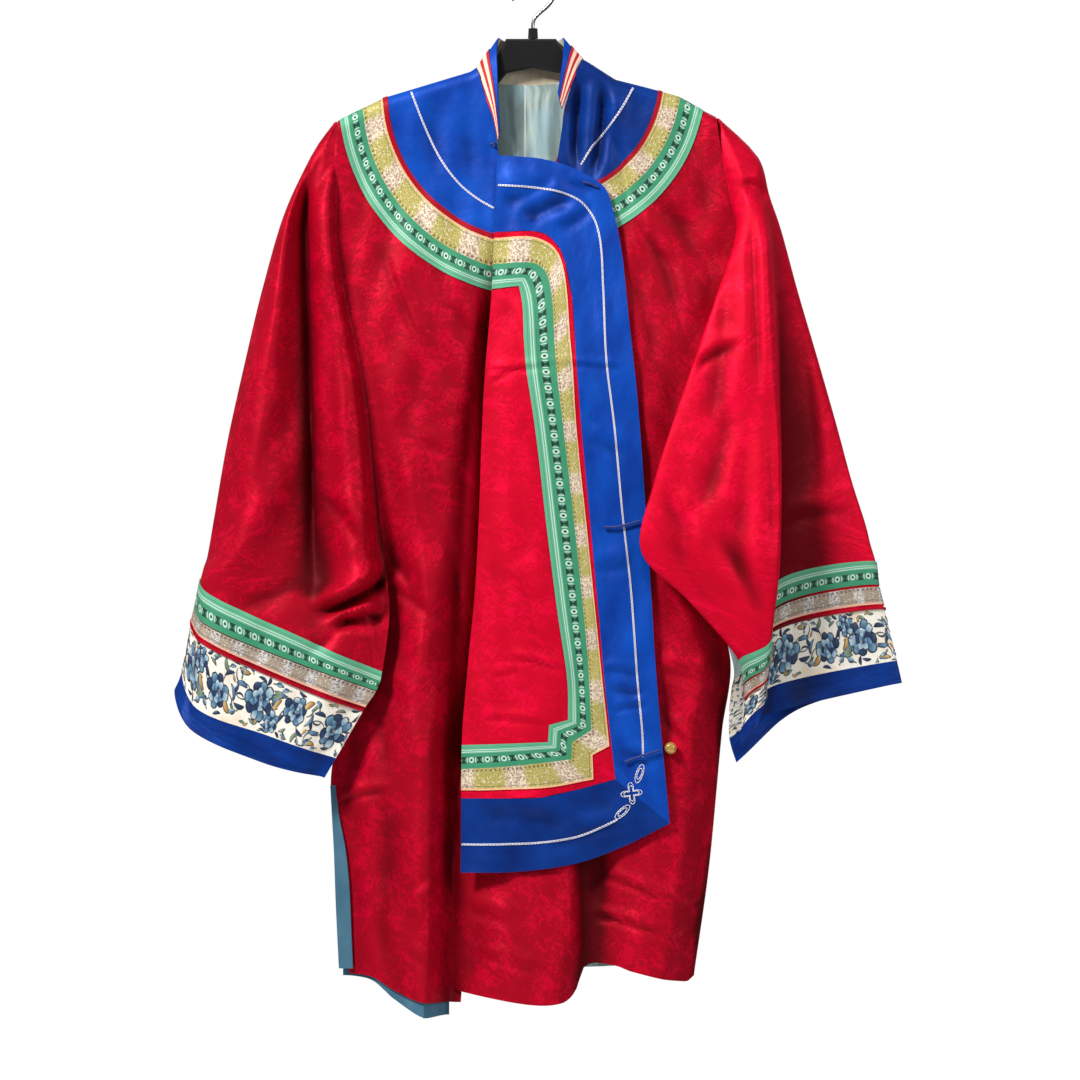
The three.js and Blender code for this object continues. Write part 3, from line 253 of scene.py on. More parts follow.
flap_creases = table(crease_columns, [
    [-50, 402, 18, 396, 2.4, 1.2, 1.0, -2], [10, 396, 96, 400, 2.2, 1.0, 1.0, 1],
    [-46, 414, -14, 400, 2.0, 1.0, 0.8, 0], [-28, 688, 36, 703, 2.4, 1.4, 1.2, 3],
    [-40, 706, -12, 700, 2.2, 0.9, 0.8, 0], [-56, 748, 24, 756, 2.6, 1.0, 0.9, 2],
    [-14, 255, 46, 230, 8, 4.2, 3.6, 4], [-34, 234, 26, 206, 8, 2.8, 2.6, -5],
    [22, 262, 60, 236, 6, 1.8, 1.6, -4], [30, 215, 60, 226, 4, 1.2, 1.2, 2],
    [68, 700, 108, 704, 3, 1.2, 1.2, 1], [72, 716, 112, 724, 3.6, 1.4, 1.4, -2],
    [76, 742, 118, 736, 3.2, 1.0, 1.2, 2], [84, 780, 120, 800, 4, 1.2, 1.2, 3],
    [-60, 846, 30, 850, 7, 1.2, 1.4, 4], [10, 880, 100, 852, 5, 1.2, 1.2, 3],
    [48, 470, 92, 490, 6, 1.2, 1.2, 4], [56, 600, 106, 590, 6, 1.2, 1.2, -4],
    [-30, 330, -8, 380, 5, 0.9, 0.9, 2], [-34, 600, 0, 640, 7, 1.0, 1.0, 3],
])
print("creases on the fronts:", len(right_front_creases) + len(under_front_creases) + len(flap_creases))


# %% [markdown]
# ## The sheets' surfaces
# Each panel's depth is a function of x and down. The cloth bends over the hanger's arm within a few
# millimetres, stands further out lower down, and rolls in at its seams. Trims read the same function, so they
# follow every crease of the panel they are sewn on.

# %% Depth of each sheet
SHOULDER_RADIUS = 10
SEAM_ROLL = 30
UNDERLAP_ROLL = 70
UNDERLAP_DEPTH = 6
FLAP_STANDS_OUT = 8
PLEAT_DEPTH = 23
PLEAT_WIDTH = 46


def full_depth(down, gain):
    return 10 + gain * smooth((down - 170) / 260)


def over_shoulder(x, down):
    return np.maximum(0.06, quarter_round((down - shoulder_down(x)) / SHOULDER_RADIUS))


def body_depth(x, down, side, full):
    roll_right, roll_left = edge_depth["roll"]
    end_right, end_left = edge_depth[side]
    at_right = mix(end_right(down), full, smooth((x - right_x(down)) / roll_right(down)))
    at_left = mix(end_left(down), full, smooth((left_x(down) - x) / roll_left(down)))
    return np.where(x < 0, at_right, at_left)


def calm(x, down):
    """Fine form fades at the shoulder and at the side seams, so that neighbours still meet there."""
    from_sides = np.minimum(x - right_x(down), left_x(down) - x)
    return smooth(from_sides / 16) * smooth((down - shoulder_down(x)) / 26)


def right_front_y(x, down):
    full = full_depth(down, 20) + rise_of(right_front_folds, x, down)
    into_seam = smooth((seam_x(down) - x) / SEAM_ROLL)
    near_seam = np.clip(1 - (seam_x(down) - x) / PLEAT_WIDTH, 0, 1.2)
    pleat = PLEAT_DEPTH * near_seam ** 2 * smooth((down - 250) / 130) * smooth((1040 - down) / 60)
    depth = mix(seam_depth(down), body_depth(x, down, "front", full), into_seam) - pleat
    fine = creases_of(right_front_creases, x, down) + waviness(x, down, 11, 1.7)
    fine = fine * calm(x, down) * mix(0.25, 1, smooth((seam_x(down) - x) / 14))
    return -(depth * over_shoulder(x, down) + fine)


def under_front_y(x, down):
    full = full_depth(down, 20) + rise_of(under_front_folds, x, down)
    from_edge = np.where(down < 230, 1, smooth((x - under_x(down)) / UNDERLAP_ROLL))
    depth = body_depth(x, down, "front", full)
    depth = mix(depth, mix(UNDERLAP_DEPTH, depth, from_edge), smooth((down - 200) / 60))
    fine = (creases_of(under_front_creases, x, down) + waviness(x, down, 23, 1.6)) * calm(x, down)
    return -(depth * over_shoulder(x, down) + fine)


def flap_y(x, down):
    full = full_depth(down, 20) + FLAP_STANDS_OUT + rise_of(flap_folds, x, down)
    fine = creases_of(flap_creases, x, down) + waviness(x, down, 37, 1.0)
    fine = fine * smooth((x - seam_x(down)) / 12)
    edge = mix(seam_depth(down), full, 0.7)
    return -(mix(edge, full, smooth((x - seam_x(down)) / SEAM_ROLL)) + fine)


def back_y(x, down):
    full = full_depth(down, 10) + rise_of(back_folds, x, down)
    fine = waviness(x, down, 5, 1.2, 60, 220) * calm(x, down)
    return body_depth(x, down, "back", full) * over_shoulder(x, down) + fine


print("depth of the flap at the chest, mm:", round(float(-flap_y(20.0, 450.0)), 1))

# %% [markdown]
# ## From a grid of points to a cloth wall
# Silk with its lining is a thin wall. The points are laid out in rows and columns, moved out and in along the
# surface's own normal, and joined into a closed skin. The outer face takes one finish and the inner face
# another. Arc lengths go into the UV map in decimetres, so a woven pattern follows the cloth.

# %% Walls and sheets
def normals_of(grid, sign):
    across = np.gradient(grid, axis=1)
    along = np.gradient(grid, axis=0)
    normal = np.cross(across, along)
    normal /= np.maximum(np.linalg.norm(normal, axis=2, keepdims=True), 1e-9)
    return sign * normal


def side_of(grid, way):
    """The sign that turns a grid's normals to the front (-1) or to the back (1)."""
    return way if normals_of(grid, 1)[..., 1].mean() > 0 else -way


def arc_lengths(grid):
    steps = np.linalg.norm(np.diff(grid, axis=1), axis=2)
    u = np.concatenate([np.zeros((grid.shape[0], 1)), np.cumsum(steps, axis=1)], axis=1)
    steps = np.linalg.norm(np.diff(grid, axis=0), axis=2)
    v = np.concatenate([np.zeros((1, grid.shape[1])), np.cumsum(steps, axis=0)], axis=0)
    return u, v


def hollows_of(grid, normals, reach_mm=34):
    """How far each point lies behind the middle of its surroundings, in mm: the depth of its own fold."""
    steps = np.linalg.norm(np.diff(grid, axis=1), axis=2).mean()
    reach = int(min(max(reach_mm / max(steps, 0.5), 1), (grid.shape[1] - 1) // 2))
    padded = np.pad(grid, ((0, 0), (reach, reach), (0, 0)), mode="edge")
    running = np.cumsum(np.concatenate([np.zeros_like(padded[:, :1]), padded], axis=1), axis=1)
    width = 2 * reach + 1
    middle = (running[:, width:] - running[:, :-width]) / width
    hollow = ((middle - grid) * normals).sum(axis=2)
    edges = np.arange(grid.shape[1])
    fade = smooth(np.minimum(edges, edges[-1] - edges) / reach)
    return hollow * np.maximum(fade, smooth((hollow - 2.5) / 3))


def wall(name, grid, outer, inner=None, inwards=CLOTH, outwards=0.0, sign=1, uv=None, normals=None):
    """A closed wall: 'grid' is rows by columns of points in mm, and sign turns its outer face round."""
    rows, columns = grid.shape[:2]
    normals = normals_of(grid, sign) if normals is None else normals
    points = np.concatenate([
        (grid + normals * outwards).reshape(-1, 3), (grid - normals * inwards).reshape(-1, 3),
    ]) / 1000
    number = np.arange(rows * columns).reshape(rows, columns)
    behind = number + rows * columns

    def strip(a, b, c, d):
        return np.stack([a.ravel(), b.ravel(), c.ravel(), d.ravel()], axis=1)

    front = strip(number[:-1, :-1], number[:-1, 1:], number[1:, 1:], number[1:, :-1])
    back = strip(behind[:-1, :-1], behind[1:, :-1], behind[1:, 1:], behind[:-1, 1:])
    rims = [
        strip(number[:-1, 0], number[1:, 0], behind[1:, 0], behind[:-1, 0]),
        strip(number[:-1, -1], behind[:-1, -1], behind[1:, -1], number[1:, -1]),
        strip(number[0, :-1], behind[0, :-1], behind[0, 1:], number[0, 1:]),
        strip(number[-1, :-1], number[-1, 1:], behind[-1, 1:], behind[-1, :-1]),
    ]
    faces = np.concatenate([front, back, *rims])
    if sign < 0:
        faces = faces[:, ::-1]
    mesh = bpy.data.meshes.new(name)
    mesh.from_pydata(points.tolist(), [], faces.tolist())
    u, v = arc_lengths(grid) if uv is None else uv
    flat = np.stack([np.concatenate([u.ravel(), u.ravel()]), np.concatenate([v.ravel(), v.ravel()])], axis=1)
    layer = mesh.uv_layers.new(name="cloth")
    corners = np.empty(len(mesh.loops), dtype=np.int32)
    mesh.loops.foreach_get("vertex_index", corners)
    layer.data.foreach_set("uv", (flat[corners] / 100).ravel())
    # the finishes darken the cloth by this fold depth: it carries their painted shade
    shade = mesh.attributes.new("hollow", "FLOAT", "POINT")
    shade.data.foreach_set("value", np.tile(hollows_of(grid, normals).ravel(), 2).astype(np.float32))
    mesh.materials.append(outer)
    mesh.materials.append(inner or outer)
    slots = np.zeros(len(faces), dtype=np.int32)
    slots[len(front):len(front) + len(back)] = 1
    mesh.polygons.foreach_set("material_index", slots)
    mesh.polygons.foreach_set("use_smooth", np.ones(len(faces), dtype=bool))
    mesh.set_sharp_from_angle(angle=math.radians(55))
    mesh.update()
    piece = bpy.data.objects.new(name, mesh)
    bpy.context.collection.objects.link(piece)
    return piece


def area_of(grid):
    across = np.diff(grid, axis=1)[:-1]
    along = np.diff(grid, axis=0)[:, :-1]
    return float(np.linalg.norm(np.cross(across, along), axis=2).sum()) / 1e6


def ribbon_cut(grid, width):
    """The flat size of a ribbon: its woven width, at least 10 mm with turnings, and its own length."""
    u, v = arc_lengths(grid)
    return max(width, 10), max(u.mean(axis=0)[-1], v.mean(axis=1)[-1]) + 8


def panel_cut(grid):
    """The flat rectangle that a panel is cut from: its width and length in mm, with turnings."""
    width, _, length = np.ptp(grid.reshape(-1, 3), axis=0)
    return width + 10, length + 10


total_triangles = 0


def dressed(piece, nodes):
    """Rides on the body and stands for its CAD nodes, which it hides."""
    global total_triangles
    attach(piece, "root")
    nodes = [nodes] if isinstance(nodes, str) else nodes
    if nodes:
        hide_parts(*nodes)
    total_triangles += sum(len(face.vertices) - 2 for face in piece.data.polygons)
    return piece


def cloth_piece(piece, grid, nodes, cut):
    """A dressed sheet: cut is its flat width and length in mm, and an area is worked out from the grid but
    not passed on.
    """
    dressed(piece, nodes)
    rectangle = cut[0] * cut[1] / 1e6
    area = min(max(area_of(grid), 0.302 * rectangle), 0.999 * rectangle)
    cut[0] / 1000
    cut[1] / 1000
    return piece


# %% [markdown]
# ## Finishes
# Silk gives its own colour back in its highlights, so the robe's finishes are part metal in the shader's
# sense, with a soft gloss. The woven ribbons are drawn from the UV map with sums and distances: u runs along
# the ribbon and v across it. A small class lets such sums be written as plain arithmetic.

# %% Arithmetic on shader sockets
def colour(red, green, blue):
    """A colour picked on a screen, as the linear numbers that the shader takes."""
    def linear(v):
        v /= 255
        return v / 12.92 if v <= 0.04045 else ((v + 0.055) / 1.055) ** 2.4
    return (linear(red), linear(green), linear(blue), 1)


class Field:
    def __init__(self, tree, socket):
        self.tree = tree
        self.socket = socket

    def sum(self, operation, *others):
        node = self.tree.nodes.new("ShaderNodeMath")
        node.operation = operation
        for slot, value in zip(node.inputs, (self, *others)):
            if isinstance(value, Field):
                self.tree.links.new(value.socket, slot)
            else:
                slot.default_value = value
        return Field(self.tree, node.outputs[0])

    def __add__(self, other):
        return self.sum("ADD", other)

    def __sub__(self, other):
        return self.sum("SUBTRACT", other)

    def __mul__(self, other):
        return self.sum("MULTIPLY", other)

    def wrapped(self):
        return self.sum("FRACT")

    def size(self):
        return self.sum("ABSOLUTE")

    def larger(self, other):
        return self.sum("MAXIMUM", other)

    def below(self, edge, soft=0.15):
        """1 where this is below the edge, with a soft step."""
        node = self.tree.nodes.new("ShaderNodeMapRange")
        node.interpolation_type = "SMOOTHSTEP"
        node.inputs["From Min"].default_value = edge - soft
        node.inputs["From Max"].default_value = edge + soft
        node.inputs["To Min"].default_value = 1
        node.inputs["To Max"].default_value = 0
        self.tree.links.new(self.socket, node.inputs["Value"])
        return Field(self.tree, node.outputs["Result"])


def distance(a, b):
    return (a * a + b * b).sum("SQRT")


# %% A finish: shader, surface coordinates and noises
class Finish:
    def __init__(self, name, base, roughness=0.5, metallic=0.0, sheen=0.0, specular=0.5):
        self.material = bpy.data.materials.new(name)
        self.material.use_nodes = True
        self.tree = self.material.node_tree
        self.shader = self.tree.nodes["Principled BSDF"]
        self.shader.inputs["Base Color"].default_value = base
        self.shader.inputs["Roughness"].default_value = roughness
        self.shader.inputs["Metallic"].default_value = metallic
        self.shader.inputs["Sheen Weight"].default_value = sheen
        self.shader.inputs["Specular IOR Level"].default_value = specular

    def cloth_uv(self):
        """u and v in mm, from the UV map that the walls write in decimetres."""
        node = self.tree.nodes.new("ShaderNodeUVMap")
        node.uv_map = "cloth"
        split = self.tree.nodes.new("ShaderNodeSeparateXYZ")
        self.tree.links.new(node.outputs["UV"], split.inputs["Vector"])
        return Field(self.tree, split.outputs["X"]) * 100, Field(self.tree, split.outputs["Y"]) * 100

    def across(self):
        """x in mm, from the middle of the robe."""
        node = self.tree.nodes.new("ShaderNodeTexCoord")
        split = self.tree.nodes.new("ShaderNodeSeparateXYZ")
        self.tree.links.new(node.outputs["Object"], split.inputs["Vector"])
        return Field(self.tree, split.outputs["X"]) * 1000

    def hollow(self):
        """The depth of the fold here in mm, as the walls write it: below 0 on a ridge."""
        node = self.tree.nodes.new("ShaderNodeAttribute")
        node.attribute_name = "hollow"
        return Field(self.tree, node.outputs["Fac"])

    def joined(self, u, v, w=0.0):
        node = self.tree.nodes.new("ShaderNodeCombineXYZ")
        for slot, value in zip(node.inputs, (u, v, w)):
            if isinstance(value, Field):
                self.tree.links.new(value.socket, slot)
            else:
                slot.default_value = value
        return node.outputs["Vector"]

    def noise(self, u, v, scale, detail=2.0, w=0.0):
        node = self.tree.nodes.new("ShaderNodeTexNoise")
        node.inputs["Scale"].default_value = scale
        node.inputs["Detail"].default_value = detail
        self.tree.links.new(self.joined(u, v, w), node.inputs["Vector"])
        return Field(self.tree, node.outputs["Fac"])

    def blend(self, share, first, second):
        node = self.tree.nodes.new("ShaderNodeMix")
        node.data_type = "RGBA"
        self.tree.links.new(share.socket, node.inputs["Factor"])
        for slot, value in ((node.inputs[6], first), (node.inputs[7], second)):
            if isinstance(value, tuple):
                slot.default_value = value
            else:
                self.tree.links.new(value, slot)
        return node.outputs[2]

    def paint(self, socket):
        self.tree.links.new(socket, self.shader.inputs["Base Color"])

    def gloss(self, field):
        self.tree.links.new(field.socket, self.shader.inputs["Roughness"])

    def relief(self, height, depth_mm, strength=1.0):
        node = self.tree.nodes.new("ShaderNodeBump")
        node.inputs["Strength"].default_value = strength
        node.inputs["Distance"].default_value = depth_mm / 1000
        self.tree.links.new(height.socket, node.inputs["Height"])
        self.tree.links.new(node.outputs["Normal"], self.shader.inputs["Normal"])


# %% [markdown]
# The crimson silk is a damask: its pattern is the same red, woven in satin on a duller ground, so it shows as
# small leafy patches that are a little brighter. Rounded cells give the flowers, and a second, smaller noise
# breaks them into petals and leaves. A slow noise adds the wear of old silk.

# %% Crimson damask
def damask(name, dark, bright, metallic, roughness):
    finish = Finish(name, dark, roughness, metallic, 0.0, 0.1)
    u, v = finish.cloth_uv()
    warp = finish.noise(u, v, 0.06, 2)
    leaves = finish.noise(u + warp * 40, v + warp * 30, 0.2, 1, 7.0)
    veins = finish.noise(u - warp * 30, v + warp * 40, 0.4, 1, 3.0)
    flowers = finish.tree.nodes.new("ShaderNodeTexVoronoi")
    flowers.inputs["Scale"].default_value = 0.042
    finish.tree.links.new(finish.joined(u + veins * 14, v + veins * 14), flowers.inputs["Vector"])
    petals = Field(finish.tree, flowers.outputs["Distance"])
    figure = ((leaves - 0.5) * 2.4 + (petals * -1.3 + 0.52) + (veins - 0.5) * 1.8).below(0.08, 0.34)
    wear = finish.noise(u, v, 0.012, 3, 11.0)
    share = figure * -0.62 + (wear - 0.5) * 0.5 + 0.72
    # painted shade: the red darkens to a near-black red with the depth of the fold it lies in
    fold_shade = (finish.hollow() * -1).below(-2.4, 4.2)
    deep = (dark[0] * 0.16, dark[1] * 0.3, dark[2] * 0.14, 1)
    finish.paint(finish.blend(fold_shade * 0.9, finish.blend(share, dark, bright), deep))
    finish.gloss(figure * 0.06 + (wear - 0.5) * 0.1 + roughness)
    slub = finish.noise(u * 3, v * 0.3, 0.9, 2)
    crumple = finish.noise(u + warp * 50, v, 0.07, 3, 2.0)
    finish.relief(crumple + slub * 0.03 + figure * -0.04, 1.2, 0.5)
    return finish.material


crimson = damask("crimson_damask", colour(160, 0, 26), colour(214, 0, 46), 0.25, 0.52)
# painted light: a brighter copy of the same crimson damask for the flap's ground and the wearer's left sleeve
crimson_lit = damask("crimson_damask_lit", colour(204, 0, 36), colour(244, 2, 58), 0.25, 0.52)
print("nodes in the damask:", len(crimson.node_tree.nodes))

# %% [markdown]
# The blue is a plain heavy satin, darkened in its creases by painted shade, as is every satin here. The
# lining is a thin pale silk with a mottled, faded look, and the slate facing is the same cloth in a deeper
# dye.

# %% Satins and lining
def satin(name, dark, bright, metallic=0.15, roughness=0.5, crumple_depth=1.4):
    finish = Finish(name, dark, roughness, metallic, 0.0, 0.18)
    u, v = finish.cloth_uv()
    cloud = finish.noise(u, v, 0.02, 4, 1.0)
    threads = finish.noise(u * 0.4, v * 4, 0.8, 1)
    crumple = finish.noise(u, v * 0.8, 0.09, 3, 5.0)
    # painted shade: the satin darkens with the depth of the crease it lies in
    fold_shade = (finish.hollow() * -1).below(-1.6, 3.0)
    deep = (dark[0] * 0.2, dark[1] * 0.26, dark[2] * 0.34, 1)
    cloth = finish.blend((cloud - 0.5) * 1.8 + (threads - 0.5) * 0.3 + 0.5, dark, bright)
    finish.paint(finish.blend(fold_shade * 0.7, cloth, deep))
    finish.relief(crumple + threads * 0.02, crumple_depth, 0.5)
    return finish.material


blue = satin("blue_satin", colour(0, 46, 140), colour(4, 84, 196))
# painted shade: a darker copy of the same blue satin for the cuff edgings, the flap's lower border and the
# wearer's left yoke
blue_shaded = satin("blue_satin_shaded", colour(0, 30, 98), colour(2, 62, 154))


def streaked(name, dull, pale, tint, seam_mm=None):
    """Thin lining silk, faded in long streaks and stained in places."""
    finish = Finish(name, dull, 0.62, 0.0, 0.0, 0.2)
    u, v = finish.cloth_uv()
    streaks = finish.noise(u * 1.6, v * 0.22, 0.07, 3, 2.0)
    stains = finish.noise(u, v * 0.7, 0.03, 3, 8.0)
    cloth = finish.blend((streaks - 0.5) * 3.2 + 0.5, dull, pale)
    # Left of the seam the lining is a duller green, partly its own tone and partly painted shade; the thin
    # pale line on the seam is a painted highlight.
    if seam_mm is not None:
        beside = finish.across() - seam_mm
        cloth = finish.blend(beside.below(0, 2) * 0.45, cloth, colour(96, 104, 84))
        cloth = finish.blend(beside.size().below(0.7, 0.5), cloth, colour(222, 226, 212))
    finish.paint(finish.blend((stains - 0.5) * 3.0 + 0.4, cloth, tint))
    finish.relief(streaks, 0.8, 0.4)
    return finish.material


lining = streaked("lining_silk", colour(112, 130, 124), colour(186, 202, 194), colour(134, 166, 178))
back_lining = streaked("back_lining_silk", colour(112, 130, 124), colour(186, 202, 194),
                       colour(134, 166, 178), -8.0)
collar_lining = streaked("collar_lining_silk", colour(182, 172, 142), colour(214, 206, 180),
                         colour(192, 186, 164))
slate = satin("slate_facing", colour(48, 92, 116), colour(86, 128, 148), 0.0, 0.55)
red_cord = satin("red_piping", colour(140, 0, 18), colour(190, 4, 36), 0.1, 0.5, 0.4)
print("cloths so far:", [material.name for material in bpy.data.materials][-8:])

# %% [markdown]
# ## Woven ribbons
# The green ribbon carries one row of white rings and black hourglasses, with two thin white lines beside it.
# The brocades are blocks of gold or silver thread with little dark ticks at one edge and a peach thread at
# the other.

# %% Green ribbon
MOTIF = 16.0  # one ring and one hourglass, in mm along the ribbon
GREEN_WIDTH = 24.0


def green_ribbon(name):
    finish = Finish(name, colour(47, 155, 104), 0.55, 0.0, 0.1, 0.4)
    u, v = finish.cloth_uv()
    across = v * (GREEN_WIDTH / 100)
    row = across - 8.6
    ring_x = ((u * (1 / MOTIF)).wrapped() - 0.5) * MOTIF
    glass_x = ((u * (1 / MOTIF) + 0.5).wrapped() - 0.5) * MOTIF
    ring_far = distance(ring_x, row * 0.9)
    ring = (ring_far - 2.0).size().below(0.6, 0.35)
    eye = ring_far.below(0.9, 0.3)
    waist = glass_x.size() - row.size() * 0.9
    glass = waist.below(0.7, 0.4) * row.size().below(3.3, 0.3)
    bars = (glass_x.size() - 3.6).size().below(0.45, 0.35) * row.size().below(2.4, 0.4)
    thread = ((across - 16.6).size().below(0.45, 0.25)).larger((across - 18.6).size().below(0.4, 0.25))
    mint = (across * -1).below(-14.8, 1.0)
    weave = finish.noise(u * 2, v * 0.4, 0.7, 2)
    ground = finish.blend((weave - 0.5) * 1.4 + 0.5, colour(30, 112, 80), colour(66, 162, 118))
    ground = finish.blend(mint * 0.45, ground, colour(118, 196, 158))
    rib = (across - 14.6).size().below(0.4, 0.3).larger((across - 21).size().below(0.4, 0.3))
    ground = finish.blend(rib * 0.35, ground, colour(20, 70, 60))
    ground = finish.blend(thread * 0.65, ground, colour(222, 236, 224))
    ground = finish.blend(ring.larger(bars) * 0.85, ground, colour(222, 234, 224))
    ground = finish.blend(glass.larger(eye) * 0.92, ground, colour(14, 26, 30))
    finish.paint(ground)
    finish.relief(ring.larger(bars) * 0.5 + glass * 0.3 + thread * 0.5 + weave * 0.3, 0.5, 0.7)
    return finish.material


green = green_ribbon("green_ribbon")


# %% Brocade ribbons
def brocade(name, width, patch, ground_pair, patch_pair, tick, edge, metallic):
    """Blocks of 'patch' mm of one thread pair, then the other, with ticks at one edge."""
    finish = Finish(name, ground_pair[0], 0.5, metallic, 0.0, 0.4)
    u, v = finish.cloth_uv()
    across = v * (width / 100)
    block = ((u * (1 / patch)).wrapped() - 0.5).size()
    weave = finish.noise(u * 1.6, across * 1.6, 0.55, 2)
    speck = finish.noise(u, across, 0.62, 1, 9.0)
    ground = finish.blend((weave - 0.5) * 3 + 0.5, *ground_pair)
    flowered = finish.blend((speck - 0.5) * 4 + 0.5, *patch_pair)
    cloth = finish.blend((block + (weave - 0.5) * 0.3).below(0.2, 0.05), ground, flowered)
    fleck = (speck * -1).below(-0.64, 0.03)
    cloth = finish.blend(fleck * 0.8, cloth, patch_pair[1])
    tick_row = (across - 2.0).size().below(1.1, 0.3)
    ticks = ((u * (1 / 4.6)).wrapped() - 0.5).size().below(0.22, 0.06) * tick_row
    line = (across - (width - 3.4)).size().below(0.5, 0.25)
    cloth = finish.blend(ticks.larger(line * 0.6) * 0.7, cloth, tick)
    cloth = finish.blend((across * -1).below(1.6 - width, 0.3), cloth, edge)
    finish.paint(cloth)
    finish.relief(weave + speck * 0.5 + ticks * 0.4, 0.7, 0.8)
    return finish.material


gold_pair = (colour(150, 138, 62), colour(196, 184, 104))
pink_pair = (colour(170, 140, 118), colour(238, 222, 196))
gold = brocade("gold_brocade", 21, 52, gold_pair, pink_pair, colour(84, 66, 44), colour(240, 184, 134), 0.15)
taupe_pair = (colour(132, 114, 94), colour(186, 170, 150))
silver_pair = (colour(140, 132, 132), colour(222, 216, 206))
taupe = brocade("taupe_brocade", 17, 26, taupe_pair, silver_pair, colour(70, 54, 58),
                colour(236, 176, 150), 0.15)


# %% Braid, cord, button, hanger
def braid(name):
    finish = Finish(name, colour(236, 190, 150), 0.6, 0.0, 0.1, 0.3)
    u, v = finish.cloth_uv()
    lines = (v - 50).size().below(9, 2).larger(((v - 50).size() * -1).below(-32, 2))
    weave = finish.noise(u, v, 0.8, 2)
    ground = finish.blend((weave - 0.5) * 1.6 + 0.5, colour(234, 190, 156), colour(252, 226, 200))
    finish.paint(finish.blend(lines, ground, colour(184, 8, 34)))
    return finish.material


peach_braid = braid("peach_braid")


def twisted(name, base, light, pitch):
    """A cord of two strands: light and dark lean along it."""
    finish = Finish(name, base, 0.45, 0.2, 0.1, 0.5)
    u, v = finish.cloth_uv()
    lay = ((u * (1 / pitch) + v * 0.02).wrapped() - 0.5).size()
    finish.paint(finish.blend(lay.below(0.28, 0.14), base, light))
    finish.relief(lay * -1, 0.6, 0.8)
    return finish.material


silver_cord = twisted("silver_cord", colour(176, 172, 200), colour(248, 246, 250), 3.2)
navy_cord = twisted("navy_cord", colour(8, 22, 76), colour(30, 60, 150), 2.4)
brass = Finish("button_brass", colour(214, 172, 98), 0.3, 0.55).material


def ivory_satin(name, blotched):
    finish = Finish(name, colour(216, 204, 176), 0.48, 0.0, 0.1, 0.4)
    u, v = finish.cloth_uv()
    weave = finish.noise(u, v * 0.5, 0.35, 3)
    blush = finish.noise(u, v * 0.5, 0.05, 2, 4.0)
    ground = finish.blend((weave - 0.5) * 1.2 + 0.6, colour(226, 216, 194), colour(250, 247, 238))
    ground = finish.blend((blush - 0.5) * 3.0, ground, colour(226, 194, 152))
    if blotched:
        blots = finish.noise(u, v, 0.16, 3, 6.0)
        ground = finish.blend((blots * -1).below(-0.53, 0.04), ground, colour(70, 104, 120))
        ground = finish.blend((blots * -1).below(-0.6, 0.03), ground, colour(14, 24, 44))
    finish.paint(ground)
    finish.relief(weave, 0.4, 0.5)
    return finish.material


ivory = ivory_satin("ivory_satin", False)
ivory_inside = ivory_satin("ivory_satin_inside", True)
flock = Finish("hanger_flock", colour(14, 14, 16), 0.92, 0.0, 0.25, 0.2).material
steel = Finish("hook_steel", colour(190, 192, 196), 0.22, 1.0).material
print("finishes:", len(bpy.data.materials))

# %% [markdown]
# ## The body: two fronts and a back
# Each panel is cut between a left and a right line and between its top and its hem. Rows are close together
# over the hanger's arm, where the cloth turns, and even below it.

# %% Body panels
CAP = [0, 0.4, 1.2, 2.4, 4, 6.5, 10]


def panel_grid(left, right, top, hem, columns, rows, depth, cap=(0,)):
    shares = np.linspace(0, 1, columns)

    def meet(start, line):
        down = np.full(columns, float(start))
        for _ in range(30):
            down = mix(down, line(mix(left(down), right(down), shares)), 0.8)
        return down

    starts = meet(150, top)
    ends = meet(1000, hem)
    lines = [starts + offset for offset in cap]
    lines += [mix(starts + cap[-1], ends, level) for level in np.linspace(0, 1, rows)[1:]]
    down = np.array(lines)
    x = mix(left(down), right(down), shares)
    return np.stack([x, depth(x, down), -down], axis=2)


right_front_top = table(["x", "down"], [
    [-195, 151], [-148, 128], [-57, 100.5], [-45, 134], [-36.4, 164], [-36, 186],
])
right_front_hem = table(["x", "down"], [
    [-183, 1003], [-160, 1006], [-139, 1018], [-112, 1029], [-79, 1031],
])
UNDER_FLAP = 7
right_front = panel_grid(
    right_x, lambda down: seam_x(down) + UNDER_FLAP * smooth((down - 300) / 60),
    run_of(right_front_top, "x", "down"), curve_of(right_front_hem, "x", "down"),
    64, 280, right_front_y, CAP,
)


def folded_under(grid):
    """The pleat's return: beside the flap the edge comes forward again to the flap's back."""
    edge = grid[:, -1]
    down = -edge[:, 2]
    target = np.stack([edge[:, 0] + 2, flap_y(edge[:, 0] + 2, down) + 2.6, edge[:, 2]], axis=1)
    beside_flap = (smooth((down - 262) / 40) * smooth((822 - down) / 25))[:, None]
    end = mix(edge + np.array([-0.5, 3, 0]), target, beside_flap)
    across = np.linspace(0, 1, 7)[None, 1:, None]
    return np.concatenate([grid, mix(edge[:, None], end[:, None], across)], axis=1)


right_front = folded_under(right_front)
front_right_piece = wall("front_right_silk", right_front, crimson, lining, sign=-1)
cloth_piece(front_right_piece, right_front, "front_right", (175, 915))

under_front_hem = table(["x", "down"], [
    [-96, 1016], [-8, 1032], [28, 1031], [42, 1020], [52, 995], [81, 994], [99, 1000], [153, 1011],
    [161, 1005],
])
under_front = panel_grid(
    under_x, left_x,
    lambda x: shoulder_down(np.maximum(x, 54)), curve_of(under_front_hem, "x", "down"),
    84, 280, under_front_y, CAP,
)
front_left_piece = wall("front_left_silk", under_front, crimson, lining, sign=-1)
cloth_piece(front_left_piece, under_front, "front_left", (265, 930))

# %% [markdown]
# The back is one width from armhole to armhole. Its inner face is the pale lining that shows in the neck,
# where a centre seam runs down. Below the side slit its edge is set back behind the front's.

